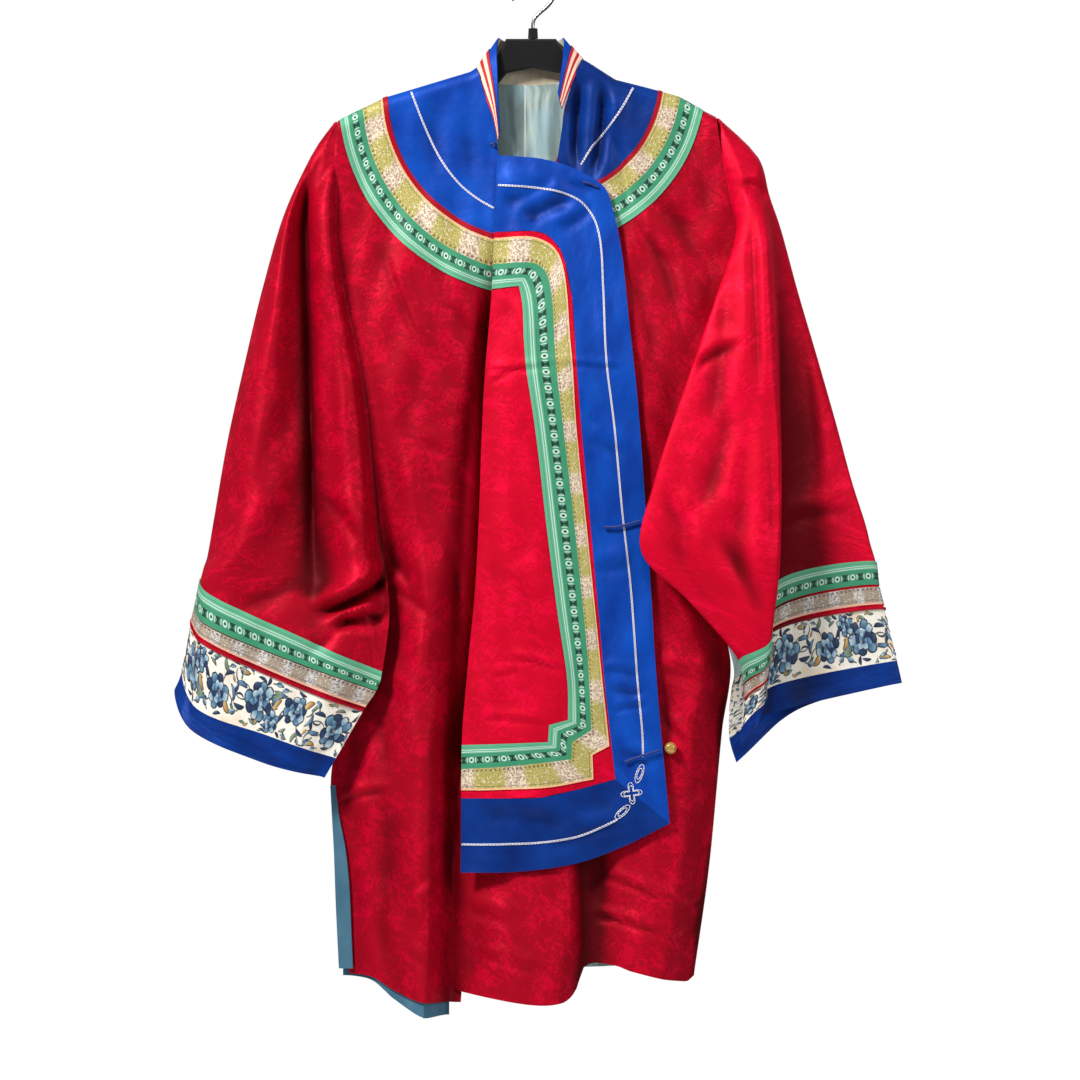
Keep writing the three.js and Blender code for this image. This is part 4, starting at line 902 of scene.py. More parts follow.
# %% Back panel
SLIT_SETBACK = 9
back_top = table(["x", "down"], [
    [-195, 151], [-148, 128], [-62, 102], [-50, 110], [-30, 114], [0, 115], [25, 113], [44, 105], [54, 92],
    [82, 110], [102, 115], [125, 121], [146, 127], [171, 141], [183, 147],
])
back_hem = table(["x", "down"], [[-179, 1000], [-100, 1006], [0, 1000], [100, 996], [161, 990]])
lining_creases = table(crease_columns, [
    [-8, -60, -11, 420, 2.6, 1.6, 0.2, 0], [16, 60, 10, 320, 7, 2.0, 0.3, 2],
    [-24, 80, -16, 260, 5, 2.2, 0.3, 5],
])


def lined_back_y(x, down):
    return back_y(x, down) + creases_of(lining_creases, x, down) * smooth((down - 118) / 14)


back_grid = panel_grid(
    lambda down: right_x(down) + SLIT_SETBACK * smooth((down - 770) / 40), left_x,
    run_of(back_top, "x", "down"), curve_of(back_hem, "x", "down"), 120, 190, lined_back_y, CAP,
)
back_piece = wall("back_silk", back_grid, crimson, back_lining)
cloth_piece(back_piece, back_grid, "back", (400, 900))

# %% [markdown]
# A slate-blue facing peeps out behind the wearer's right front at the side slit and along the hem.

# %% Facings
facing_side = table(["down", "inner", "outer"], [
    [815, -197, -202.6], [845, -193, -201], [881, -186, -199], [936, -182, -197], [998, -179, -194],
])
BEHIND = 1.6
FACING = CLOTH + BEHIND + 1.0


def facing_y(x, down):
    return right_front_y(np.maximum(x, right_x(down) + 1), np.minimum(down, 1030))


facing_down = np.linspace(815, 998, 60)[:, None]
facing_x = mix(curve_of(facing_side, "down", "inner")(facing_down),
               curve_of(facing_side, "down", "outer")(facing_down), np.linspace(0, 1, 5))
facing_down = np.broadcast_to(facing_down, facing_x.shape)
slit_grid = np.stack([facing_x, facing_y(facing_x, facing_down), -facing_down], axis=2)
slit = wall("facing_slit_silk", slit_grid, slate, sign=-1, outwards=-CLOTH - 0.7, inwards=FACING)
cloth_piece(slit, slit_grid, "facing_slit", (14, 186))

hem_facing = table(["x", "drop"], [[-193, 2], [-168, 3.5], [-140, 10], [-110, 15], [-84, 13]])
hem_x = np.linspace(-190, -82, 60)[None, :]
hem_top = curve_of(right_front_hem, "x", "down")(hem_x)
hem_drop = curve_of(hem_facing, "x", "drop")(hem_x)
hem_down = hem_top + mix(-6, hem_drop, np.linspace(0, 1, 6)[:, None])
hem_x = np.broadcast_to(hem_x, hem_down.shape)
hem_grid = np.stack([hem_x, facing_y(hem_x, hem_down), -hem_down], axis=2)
hem = wall("facing_hem_silk", hem_grid, slate, sign=-1, outwards=-CLOTH - BEHIND, inwards=FACING)
cloth_piece(hem, hem_grid, "facing_hem", (130, 24))
print("body panels:", total_triangles, "triangles")

# %% [markdown]
# ## Sleeves
# A sleeve is a tube that hangs in folds. Its sections name where each fold line stands: x, down and y. A
# smooth line goes through them, round at the sharp folds, and from section to section another smooth line.
# Down to the underarm both edges follow the body's armhole.

# %% Smooth lines through points
def fair_curve(points, t):
    """Points on a centripetal curve through the given ones, for t from 0 to 1."""
    points = np.asarray(points, float)
    last = len(points) - 1
    place = np.clip(t, 0, 1) * last
    i = np.minimum(place.astype(int), last - 1)
    w = (place - i)[:, None]
    padded = np.concatenate([[2 * points[0] - points[1]], points, [2 * points[-1] - points[-2]]])
    p0, p1, p2, p3 = (padded[i + k] for k in range(4))

    def knot(a, b):
        return np.maximum(((a - b) ** 2).sum(axis=1), 1e-9)[:, None] ** 0.25

    d0, d1, d2 = knot(p0, p1), knot(p1, p2), knot(p2, p3)
    t1 = ((p1 - p0) / d0 - (p2 - p0) / (d0 + d1) + (p2 - p1) / d1) * d1
    t2 = ((p2 - p1) / d1 - (p3 - p1) / (d1 + d2) + (p3 - p2) / d2) * d1
    square = 3 * (p2 - p1) - 2 * t1 - t2
    cube = 2 * (p1 - p2) + t1 + t2
    return p1 + w * (t1 + w * (square + w * cube))


# %% Sleeve tables
def on_armhole(edge_x, front_folds, down, side):
    """The armhole's edge as the body has it: side is 1 for the front and -1 for the back."""
    x = float(edge_x(down))
    gain, folds, face = (20, front_folds, "front") if side > 0 else (10, back_folds, "back")
    full = full_depth(down, gain) + rise_of(folds, x, down)
    return [x, down, float(-side * body_depth(x, down, face, full) * over_shoulder(x, down))]


def on_right(down, side):
    return on_armhole(right_x, right_front_folds, down, side)


def on_left(down, side):
    return on_armhole(left_x, under_front_folds, down, side)


F = "follows the armhole"
right_columns = ["front", "ridge", "valley", "crest", "fold", "behind", "back"]
right_rows = [
    [[-195.5, 152, -3], [-196.4, 152, -3], [-197.4, 152, -2.6], [-198.4, 152.4, -1.8], [-199, 153, 0],
     [-197.4, 152, 2.6], [-195.5, 152, 3]],
    [[0, 185, F], [-203, 185, -17], [-210, 185, -17], [-217, 185, -14], [-223, 185, -1], [-210, 185, 12],
     [0, 185, F]],
    [[0, 246, F], [-205, 246, -33], [-229, 246, -15], [-243, 246, -29], [-251, 246, -2], [-225, 246, 14],
     [0, 246, F]],
    [[0, 318, F], [-199, 318, -42], [-229, 318, -16], [-254, 318, -42], [-273, 318, -3], [-230, 318, 16],
     [0, 318, F]],
    [[0, 387, F], [-190, 387, -46], [-228, 387, -17], [-264, 387, -48], [-290, 387, -3], [-235, 387, 18],
     [0, 387, F]],
    [[0, 470, F], [-180, 470, -51], [-226, 470, -19], [-272, 470, -53], [-309, 470, -4], [-240, 470, 18],
     [0, 470, F]],
    [[0, 548, F], [-173, 548, -55], [-221, 548, -22], [-278, 546, -54], [-323, 548, -4], [-245, 548, 16],
     [0, 548, F]],
    [[-147, 598, -26], [-174, 600, -54], [-217, 598, -27], [-292, 580, -53], [-329, 585, -5],
     [-248, 600, 12], [-156, 600, -14]],
    [[-143, 645, -34], [-178, 638, -45], [-221, 628, -36], [-310, 600, -48], [-332, 597, -6],
     [-250, 632, 6], [-147, 646, -20]],
    [[-150, 701, -36], [-192, 684, -46], [-236, 664, -48], [-324, 622, -42], [-333, 606, -7],
     [-240, 664, 4], [-151, 702, -21]],
    [[-156, 720, -36], [-196, 706, -46], [-240, 690, -48], [-328, 652, -42], [-338, 630, -7],
     [-244, 688, 3], [-157, 721, -21]],
    [[-169, 740, -36], [-206, 727, -46], [-248, 710, -48], [-331, 670, -42], [-342, 646, -7],
     [-250, 706, 2], [-170, 741, -21]],
    [[-196, 787, -36], [-228, 777, -46], [-264, 764, -48], [-336, 736, -42], [-352, 694, -7],
     [-264, 758, 2], [-197, 788, -21]],
    [[-207, 806, -36], [-238, 800, -46], [-272, 790, -48], [-342, 757, -42], [-360, 714, -7],
     [-270, 782, 2], [-208, 807, -21]],
]
left_columns = ["front", "lip", "face", "ridge", "step", "fold", "behind", "back"]
left_rows = [
    [[183.5, 148.5, -4], [184.2, 148.6, -6], [185, 148.8, -6.5], [185.8, 149, -5.5], [186.6, 149.2, -3],
     [187.2, 149.6, 0], [185.4, 149, 2.6], [183.5, 148.5, 3]],
    [[0, 187, F], [193, 187, -20], [202, 187, -22], [212, 187, -18], [220, 187, -12], [227, 187, -1],
     [212, 187, 13], [0, 187, F]],
    [[0, 226, F], [203, 226, -25], [212, 226, -31], [222, 226, -30], [231, 226, -19], [239, 226, -2],
     [222, 226, 15], [0, 226, F]],
    [[0, 263, F], [202, 263, -34], [216, 262, -43], [230, 260, -44], [239, 262, -24], [252, 263, -2],
     [230, 263, 16], [0, 263, F]],
    [[0, 322, F], [181, 322, -44], [208, 320, -53], [235, 320, -54], [245, 322, -28], [269, 322, -3],
     [238, 322, 17], [0, 322, F]],
    [[0, 387, F], [158, 387, -50], [198, 386, -59], [239, 387, -62], [249, 387, -30], [289, 387, -3],
     [240, 387, 18], [0, 387, F]],
    [[0, 452, F], [135, 453, -54], [188, 452, -63], [242, 452, -66], [251, 452, -32], [308, 452, -4],
     [245, 452, 18], [0, 452, F]],
    [[0, 510, F], [117, 510, -56], [180, 510, -66], [244, 510, -70], [252, 507, -34], [324, 510, -4],
     [245, 510, 16], [0, 510, F]],
    [[171.5, 592, -27], [103, 580, -56], [176, 576, -68], [244, 560, -72], [251, 540, -36], [338, 554, -4],
     [245, 560, 12], [173, 594, -20]],
    [[182, 640, -34], [150, 629, -56], [200, 616, -68], [243, 606, -72], [248, 574, -36], [343, 573, -5],
     [250, 604, 8], [184, 642, -26]],
    [[206, 694, -36], [205, 687, -52], [221, 680, -64], [236, 672, -66], [240, 613, -34], [348, 590, -6],
     [262, 642, 6], [200, 696, -22]],
    [[209, 716, -34], [214, 708, -48], [225, 702, -59], [234, 694, -61], [238, 640, -34], [351, 614, -6],
     [264, 664, 5], [198, 720, -18]],
    [[210, 730, -32], [218, 721, -46], [225, 716, -55], [232, 709, -57], [235, 664, -34], [357, 637, -6],
     [265, 682, 4], [196, 740, -15]],
    [[208, 756, -30], [219, 742, -42], [224, 738, -49], [231, 732, -48], [234, 718, -31], [370, 689, -6],
     [266, 714, 3], [196, 768, -12]],
    [[206, 774, -28], [217, 758, -40], [221, 755, -46], [226, 750, -48], [225, 746, -34], [375, 711, -6],
     [264, 740, 3], [203, 792, -10]],
]
sleeves = {
    "right": dict(
        rows=right_rows, columns=right_columns, folds={"fold": 7}, steps=[2, 2, 3, 2, 1, 2, 2], underarm=6,
        armhole=on_right, sign=1, seam=0.014, cuff=[9, 10, 11, 12, 13], lean=0.27, seed=51,
    ),
    "left": dict(
        rows=left_rows, columns=left_columns, folds={"lip": 5, "ridge": 5, "fold": 7},
        steps=[2, 1, 2, 3, 1, 2, 2, 1, 3, 2], underarm=7, armhole=on_left, sign=-1, seam=0.035,
        cuff=[10, 11, 12, 13, 14], lean=-0.22, seed=64,
    ),
}
print("sections of the sleeves:", len(right_rows), len(left_rows))

# %% [markdown]
# The sleeves' own creases: sharp ones run from the underarm, where the cloth is squeezed, and soft ones fan
# out towards the cuff.

# %% Sleeve creases
sleeve_creases = {
    "right": table(crease_columns, [
        [-222, 646, -122, 586, 6, 14.0, 9.0, -9], [-204, 660, -140, 648, 6, 9.0, 5.0, 6],
        [-196, 646, -150, 656, 5, 2.0, 2.0, -4], [-230, 130, -219, 640, 5, 6.5, 3.0, 2],
        [-334, 596, -345, 760, 4, 4.0, 1.0, 2], [-250, 420, -300, 560, 12, 2.0, 2.2, 6],
        [-196, 340, -176, 560, 8, 2.4, 2.2, 6], [-214, 520, -166, 590, 6, 2.4, 2.2, 5],
        [-262, 300, -276, 470, 8, 1.8, 1.8, 4], [-300, 470, -316, 600, 7, 1.8, 1.8, 4],
        [-222, 600, -300, 640, 8, 1.8, 2.0, 6], [-190, 660, -240, 690, 5, 1.2, 1.2, 3],
        [-196, 170, -222, 232, 5, 2.0, 1.6, 4],
    ]),
    "left": table(crease_columns, [
        [158, 404, 212, 374, 5, 2.2, 2.4, 4], [238, 330, 268, 324, 3, 1.4, 1.2, 2],
        [206, 213, 236, 232, 7, 4.0, 2.4, 3], [217, 236, 223, 440, 6, 3.4, 2.4, 0],
        [190, 300, 170, 470, 9, 2.2, 2.2, 8], [196, 420, 150, 560, 10, 2.4, 2.4, 10],
        [218, 440, 206, 640, 9, 2.2, 2.2, -6], [232, 420, 238, 600, 6, 2.0, 1.6, 3],
        [262, 330, 286, 540, 9, 2.0, 2.0, 4], [300, 470, 330, 590, 8, 1.8, 1.8, 4],
        [140, 560, 190, 640, 7, 2.0, 2.2, -6], [128, 520, 160, 590, 6, 1.6, 1.8, 4],
        [240, 560, 336, 540, 7, 1.6, 1.8, 6], [172, 330, 204, 300, 5, 2.0, 2.0, 3],
        [176, 560, 228, 660, 10, 2.4, 2.2, 8],
    ]),
}


# %% Rings and sleeve surfaces
def ring_at(sleeve, at, finer):
    rows = sleeve["rows"]
    last = len(rows) - 1
    i = min(max(int(at), 0), last - 1)
    s = at - i
    marks = []
    for k, name in enumerate(sleeve["columns"]):
        row = []
        for step in (-1, 0, 1, 2):
            index = min(max(i + step, 0), last)
            mark = rows[index][k]
            if mark[2] == F:
                mark = sleeve["armhole"](mark[1], 1 if k == 0 else -1)
            row.append(np.array(mark, float))
        slope_a = (row[2] - row[0]) / 2
        slope_b = (row[3] - row[1]) / 2
        rise = row[2] - row[1]
        cube = slope_a + slope_b - 2 * rise
        marks.append(row[1] + s * (slope_a + s * (3 * rise - 2 * slope_a - slope_b + s * cube)))
    if 1 <= at <= sleeve["underarm"]:
        marks[0] = np.array(sleeve["armhole"](marks[0][1], 1))
        marks[-1] = np.array(sleeve["armhole"](marks[-1][1], -1))
    points = [np.array([x, y, -down]) for x, down, y in marks]
    rounded = []
    for k, point in enumerate(points):
        radius = sleeve["folds"].get(sleeve["columns"][k], 0)
        if not radius:
            rounded.append(point)
            continue
        for other in (points[k - 1], points[k + 1]):
            gap = np.linalg.norm(other - point)
            rounded.append(point + (other - point) / gap * min(radius, gap * 0.35))
    segments = len(rounded) - 1
    t = [(k + n / (count * finer)) / segments
         for k, count in enumerate(sleeve["steps"]) for n in range(count * finer)]
    return fair_curve(rounded, np.array([*t, 1.0]))


FINER = 11


def sleeve_surface(side, stations):
    """The sleeve's points at these sections, with its creases pressed in."""
    sleeve = sleeves[side]
    grid = np.array([ring_at(sleeve, at, FINER) for at in stations])
    steps = np.array(sleeve["steps"])
    fold_segment = sum(sleeve["steps"][:-3]) * FINER
    columns = np.arange(grid.shape[1])
    from_front = smooth(columns / FINER) * smooth((fold_segment - columns) / (1.6 * FINER))
    from_back = smooth((columns - fold_segment - 8) / 20) * smooth((columns[-1] - columns) / (2.2 * FINER))
    top_fade = smooth((np.array(stations)[:, None] - 0.2) / 1.2)
    for ends, turn in ((grid[:, :1, 1], columns), (grid[:, -1:, 1], columns[-1] - columns)):
        leaving = smooth(np.minimum(1.5 * turn / (2 * FINER), 1))
        near = turn < 2 * FINER
        grid[:, near, 1] = mix(ends, grid[:, near, 1], leaving[near])
    x = grid[:, :, 0]
    down = -grid[:, :, 2]
    leaning = x + sleeve["lean"] * down
    front = waviness(leaning, down, sleeve["seed"], 1.5, 46, 230) + creases_of(sleeve_creases[side], x, down)
    behind = waviness(leaning, down, sleeve["seed"] + 1, 1.6, 54, 230)
    grid[:, :, 1] -= top_fade * from_front * front
    grid[:, :, 1] += top_fade * from_back * behind
    return grid


# %% [markdown]
# ## Cuffs
# Each cuff has a green ribbon and a silver-taupe brocade on the sleeve, a red piping, an ivory band that is
# embroidered in blues, and a plain blue edging. Ribbons lie a millimetre above the silk; the band and the
# edging are the sleeve's own wall, sewn end to end.

# %% Sleeves and cuffs
def around(grid, flip=False):
    """UV for a band that runs round the sleeve: u round it in mm, v across it from 0 to 100."""
    u, _ = arc_lengths(grid)
    u = np.broadcast_to(u.mean(axis=0), u.shape)
    v = np.broadcast_to(np.linspace(0, 100, grid.shape[0])[:, None], u.shape)
    return (u, 100 - v) if flip else (u, v)


def turned_in(piece, grid, first_row):
    """The ivory facing turned into the sleeve's mouth: the wall's inner faces from this row on."""
    piece.data.materials.append(ivory_inside)
    across = grid.shape[1] - 1
    inner = (grid.shape[0] - 1) * across
    for index in range(inner + first_row * across, 2 * inner):
        piece.data.polygons[index].material_index = 2


band_grids = {}
for side, sleeve in sleeves.items():
    top, ribbon, piping, edging, rim = sleeve["cuff"]
    seam = sleeve["seam"]
    sign = sleeve["sign"]
    stations = [0, 0.15, 0.3, 0.5, 0.75, *np.linspace(1, piping, 150)]
    grid = sleeve_surface(side, stations)
    # painted light: the wearer's left sleeve takes the brighter copy of the damask
    silk = crimson_lit if side == "left" else crimson
    piece = wall(f"sleeve_{side}_silk", grid, silk, lining, sign=sign)
    turned_in(piece, grid, sum(station < top + 0.4 for station in stations))
    cloth_piece(piece, grid, f"sleeve_{side}", (520, 620))
    trims = [
        ("green", top, ribbon - seam, 8, green, "green_ribbon", RIBBON, True, 24),
        ("brocade", ribbon + 2 * seam, piping - 0.12, 6, taupe, "taupe_brocade", RIBBON, False, 17),
        ("piping", piping - 0.035, piping + 0.02, 4, red_cord, "red_piping", 1.2, False, 4),
    ]
    for name, start, end, rows, finish, slot, thick, flip, width in trims:
        grid = sleeve_surface(side, np.linspace(start, end, rows))
        piece = wall(f"cuff_{name}_{side}_ribbon", grid, finish, sign=sign, inwards=-LIFT,
                     outwards=LIFT + thick, uv=around(grid, flip))
        cloth_piece(piece, grid, f"cuff_{name}_{side}", ribbon_cut(grid, width + 2))
    band_grids[side] = sleeve_surface(side, np.linspace(piping, edging, 14))
    edge_grid = sleeve_surface(side, np.linspace(edging, rim, 8))
    # painted shade: the edging takes the darker copy of the blue satin
    edge = wall(f"cuff_edging_{side}_silk", edge_grid, blue_shaded, sign=sign, uv=around(edge_grid))
    cloth_piece(edge, edge_grid, f"cuff_edging_{side}", ribbon_cut(edge_grid, 34))
print("with sleeves:", total_triangles, "triangles")

# %% [markdown]
# ## The embroidery on the cuffs
# Satin stitch is raised: each petal and leaf is a small patch of thread, thick in its middle. One patch is
# shaped on a flat grid, bent along its own line, and laid on the band by reading the band's points. The
# flowers, buds and leaves are an ordinary scattered spray, repeated round the cuff.

# %% Threads
def thread(name, deep, pale):
    """Stitches run along a petal: u goes along it from 0 to 100, v counts the stitches across."""
    finish = Finish(name, deep, 0.42, 0.15, 0.2, 0.5)
    u, v = finish.cloth_uv()
    stitch = ((v * 0.11).wrapped() - 0.5).size()
    cloud = finish.noise(u * 0.08, v * 0.3, 1.0, 1)
    share = u * 0.011 + (stitch - 0.25) * 0.5 + (cloud - 0.5) * 0.8 - 0.05
    outline = ((v - 30).size() * -1).below(-21, 4).larger((u * -1).below(-86, 5))
    finish.paint(finish.blend(outline * 0.95, finish.blend(share, deep, pale), colour(12, 18, 48)))
    finish.relief(stitch * -1, 0.25, 0.6)
    return finish.material


threads = [
    thread("thread_navy", colour(10, 18, 46), colour(40, 70, 110)),
    thread("thread_blue", colour(26, 62, 104), colour(122, 168, 192)),
    thread("thread_sky", colour(78, 128, 162), colour(206, 224, 226)),
    thread("thread_sage", colour(66, 92, 78), colour(150, 170, 130)),
    thread("thread_ochre", colour(150, 104, 44), colour(226, 190, 120)),
]
NAVY, BLUE, SKY, SAGE, OCHRE = range(5)
print("threads:", len(threads))

# %% Patches of stitches
BAND_HEIGHT = 48.0
ALONG, ACROSS = 8, 5


def patch(u, v, length, width, turn, thread_slot, bend=0.0, blunt=0.75):
    """A petal or leaf from its foot at (u, v): its centre line bends, and its ends are rounded or pointed."""
    s = np.linspace(0, 1, ALONG)[:, None]
    w = np.linspace(-1, 1, ACROSS)[None, :]
    heading = turn + bend * s
    forward = s * length
    half = 0.5 * width * np.sin(np.pi * np.clip(s * 0.94 + 0.03, 0, 1)) ** blunt
    pu = u + forward * np.cos(heading) - half * w * np.sin(heading)
    pv = v + forward * np.sin(heading) + half * w * np.cos(heading)
    dome = (1 - w ** 2) * np.sin(np.pi * s) ** 0.5 * 0.5 + 0.12
    return pu, pv, np.broadcast_to(dome, pu.shape), thread_slot


def flower(u, v, size, turn):
    """Three rings of petals, each a little uneven in its length and its turn."""
    draw = np.random.default_rng(int(7 * u + 13 * v))
    made = []
    for count, start, length, width, shift in (
        (8, 0.22, 0.34, 0.36, 0.0), (7, 0.1, 0.28, 0.34, 0.45), (5, 0.0, 0.2, 0.24, 0.2),
    ):
        for k in range(count):
            angle = turn + shift + 2 * math.pi * (k + draw.uniform(-0.18, 0.18)) / count
            reach = size * length * draw.uniform(0.8, 1.25)
            made.append(patch(u + start * size * math.cos(angle), v + start * size * math.sin(angle), reach,
                              width * size * draw.uniform(0.8, 1.1), angle,
                              (BLUE, SKY, NAVY)[(k + count) % 3], draw.uniform(-0.5, 0.5), 0.42))
    made.append(patch(u - 0.06 * size, v, 0.12 * size, 0.1 * size, turn, OCHRE, 0, 0.4))
    return made


def bud(u, v, size, turn):
    return [
        patch(u, v, size, 0.5 * size, turn, BLUE, 0.2, 0.6),
        patch(u, v, 0.8 * size, 0.34 * size, turn + 0.5, SKY, -0.2, 0.6),
        patch(u, v, 0.7 * size, 0.26 * size, turn - 0.5, NAVY, 0.2, 0.7),
        patch(u, v, -0.4 * size, 0.2 * size, turn, SAGE, 0, 0.7),
    ]


def stem(u, v, length, turn, bend):
    return [patch(u, v, length, 0.9, turn, NAVY, bend, 0.2)]


flower_columns = ["kind", "u", "v", "size", "turn"]
spray_flowers = table(flower_columns, [
    ["flower", 17, 25, 27, 0.3], ["flower", 62, 20, 22, 1.1], ["flower", 84, 36, 17, 0.6],
    ["bud", 40, 12, 8, -1.1], ["bud", 38, 38, 9, 0.9], ["bud", 74, 7, 7, 0.2], ["bud", 4, 42, 8, 2.2],
    ["bud", 51, 41, 6, 1.9], ["bud", 28, 44, 6, 0.4], ["bud", 96, 20, 7, 2.6],
])
leaf_columns = ["u", "v", "length", "width", "turn", "thread", "bend"]
spray_leaves = table(leaf_columns, [
    [31, 17, 12, 4.2, -0.5, NAVY, 0.5], [31, 30, 12, 4.4, 0.6, BLUE, -0.5], [4, 14, 11, 4, -2.4, NAVY, 0.4],
    [3, 33, 10, 4, 2.6, SAGE, 0.4], [14, 8, 10, 3.6, -0.4, SAGE, 0.6], [22, 42, 9, 3.4, 2.9, NAVY, 0.4],
    [46, 24, 9, 3.6, 2.8, NAVY, -0.5], [47, 16, 9, 3.4, -2.6, SAGE, 0.5], [72, 27, 9, 3.8, 0.5, NAVY, 0.5],
    [74, 14, 10, 3.8, -0.5, BLUE, 0.5], [55, 33, 10, 3.6, 2.2, NAVY, 0.5], [66, 36, 8, 3.4, 1.0, SAGE, -0.4],
    [92, 29, 9, 3.4, -0.7, NAVY, 0.5], [90, 44, 8, 3, 0.2, SAGE, 0.4], [76, 42, 8, 3.2, 2.8, NAVY, -0.4],
    [96, 10, 9, 3.4, -2.2, NAVY, 0.5], [88, 12, 8, 3, 2.9, SAGE, 0.4], [56, 6, 9, 3.4, 0.2, NAVY, -0.5],
    [34, 5, 8, 3, 2.9, SAGE, 0.4], [10, 4, 8, 2.8, 3.0, NAVY, 0.4], [42, 46, 9, 3, 0.1, NAVY, 0.3],
    [61, 45, 9, 3, 0.0, SAGE, -0.3], [98, 36, 7, 2.8, 0.9, OCHRE, 0.3], [44, 31, 6, 2.4, 0.7, OCHRE, 0.3],
    [33, 22, 14, 2.0, 1.2, NAVY, -1.6], [36, 33, 12, 1.8, -0.9, NAVY, 1.8], [8, 22, 12, 1.8, 2.2, NAVY, 1.5],
    [46, 9, 12, 6, 0.3, OCHRE, 0.5], [30, 42, 12, 5.5, -0.3, OCHRE, 0.4], [78, 17, 11, 5, 0.4, OCHRE, 0.6],
    [50, 36, 13, 4.6, 0.2, SAGE, 0.9], [88, 20, 12, 4.6, -1.9, SAGE, -0.8], [2, 24, 11, 4.0, 1.4, BLUE, 0.8],
    [68, 40, 12, 3.8, 2.4, BLUE, -0.6], [44, 18, 12, 3.6, 1.9, BLUE, -0.7], [94, 40, 11, 3.6, 2.9, BLUE, 0.7],
    [24, 6, 6, 2.4, -1.0, OCHRE, 0.3], [68, 46, 6, 2.2, 2.0, OCHRE, 0.3], [80, 24, 6, 2.4, 0.1, OCHRE, 0.2],
])
spray_stems = table(["u", "v", "length", "turn", "bend"], [
    [28, 25, 16, -0.9, 0.9], [28, 30, 14, 0.9, -0.9], [50, 22, -12, 0.3, 0.8], [72, 22, 14, 0.6, 0.7],
    [70, 15, 12, -0.9, 0.8], [8, 30, -12, -0.8, 0.6], [90, 30, 10, -1.2, -0.8], [56, 30, 12, 1.6, 0.8],
])
SPRAY = 84.0
print("one spray:", len(spray_flowers), "flowers and buds,", len(spray_leaves), "leaves")


def spray_patches(length):
    """The spray, repeated round the cuff to its length; each repeat is turned over, so none sits alike."""
    repeats = max(1, round(length / SPRAY))
    stretch = length / (repeats * SPRAY)
    made = []
    for k in range(repeats):
        own = []
        for f in spray_flowers:
            own += (flower if f["kind"] == "flower" else bud)(f["u"], f["v"], f["size"], f["turn"] + 0.7 * k)
        for f in spray_leaves:
            own.append(patch(f["u"], f["v"], f["length"], f["width"], f["turn"], f["thread"], f["bend"]))
        for f in spray_stems:
            own += stem(f["u"], f["v"], f["length"], f["turn"], f["bend"])
        for pu, pv, dome, slot in own:
            pv = BAND_HEIGHT - pv if k % 2 else pv
            made.append(((pu + k * SPRAY) * stretch, pv, dome, slot))
    return made


# %% Laying the stitches on a band
def lay_on(grid, sign, pu, pv, height):
    """Points of a patch on the band: u in mm round the cuff and v in mm down it."""
    u = arc_lengths(grid)[0].mean(axis=0)
    column = np.interp(np.clip(pu, 1, u[-1] - 1), u, np.arange(len(u)))
    row = np.clip(pv / BAND_HEIGHT, 0.03, 0.97) * (grid.shape[0] - 1)
    normals = normals_of(grid, sign)
    c0 = np.minimum(column.astype(int), grid.shape[1] - 2)
    r0 = np.minimum(row.astype(int), grid.shape[0] - 2)
    c = (column - c0)[..., None]
    r = (row - r0)[..., None]

    def read(source):
        upper = source[r0, c0] * (1 - c) + source[r0, c0 + 1] * c
        lower = source[r0 + 1, c0] * (1 - c) + source[r0 + 1, c0 + 1] * c
        return upper * (1 - r) + lower * r

    return read(grid) + read(normals) * height[..., None]


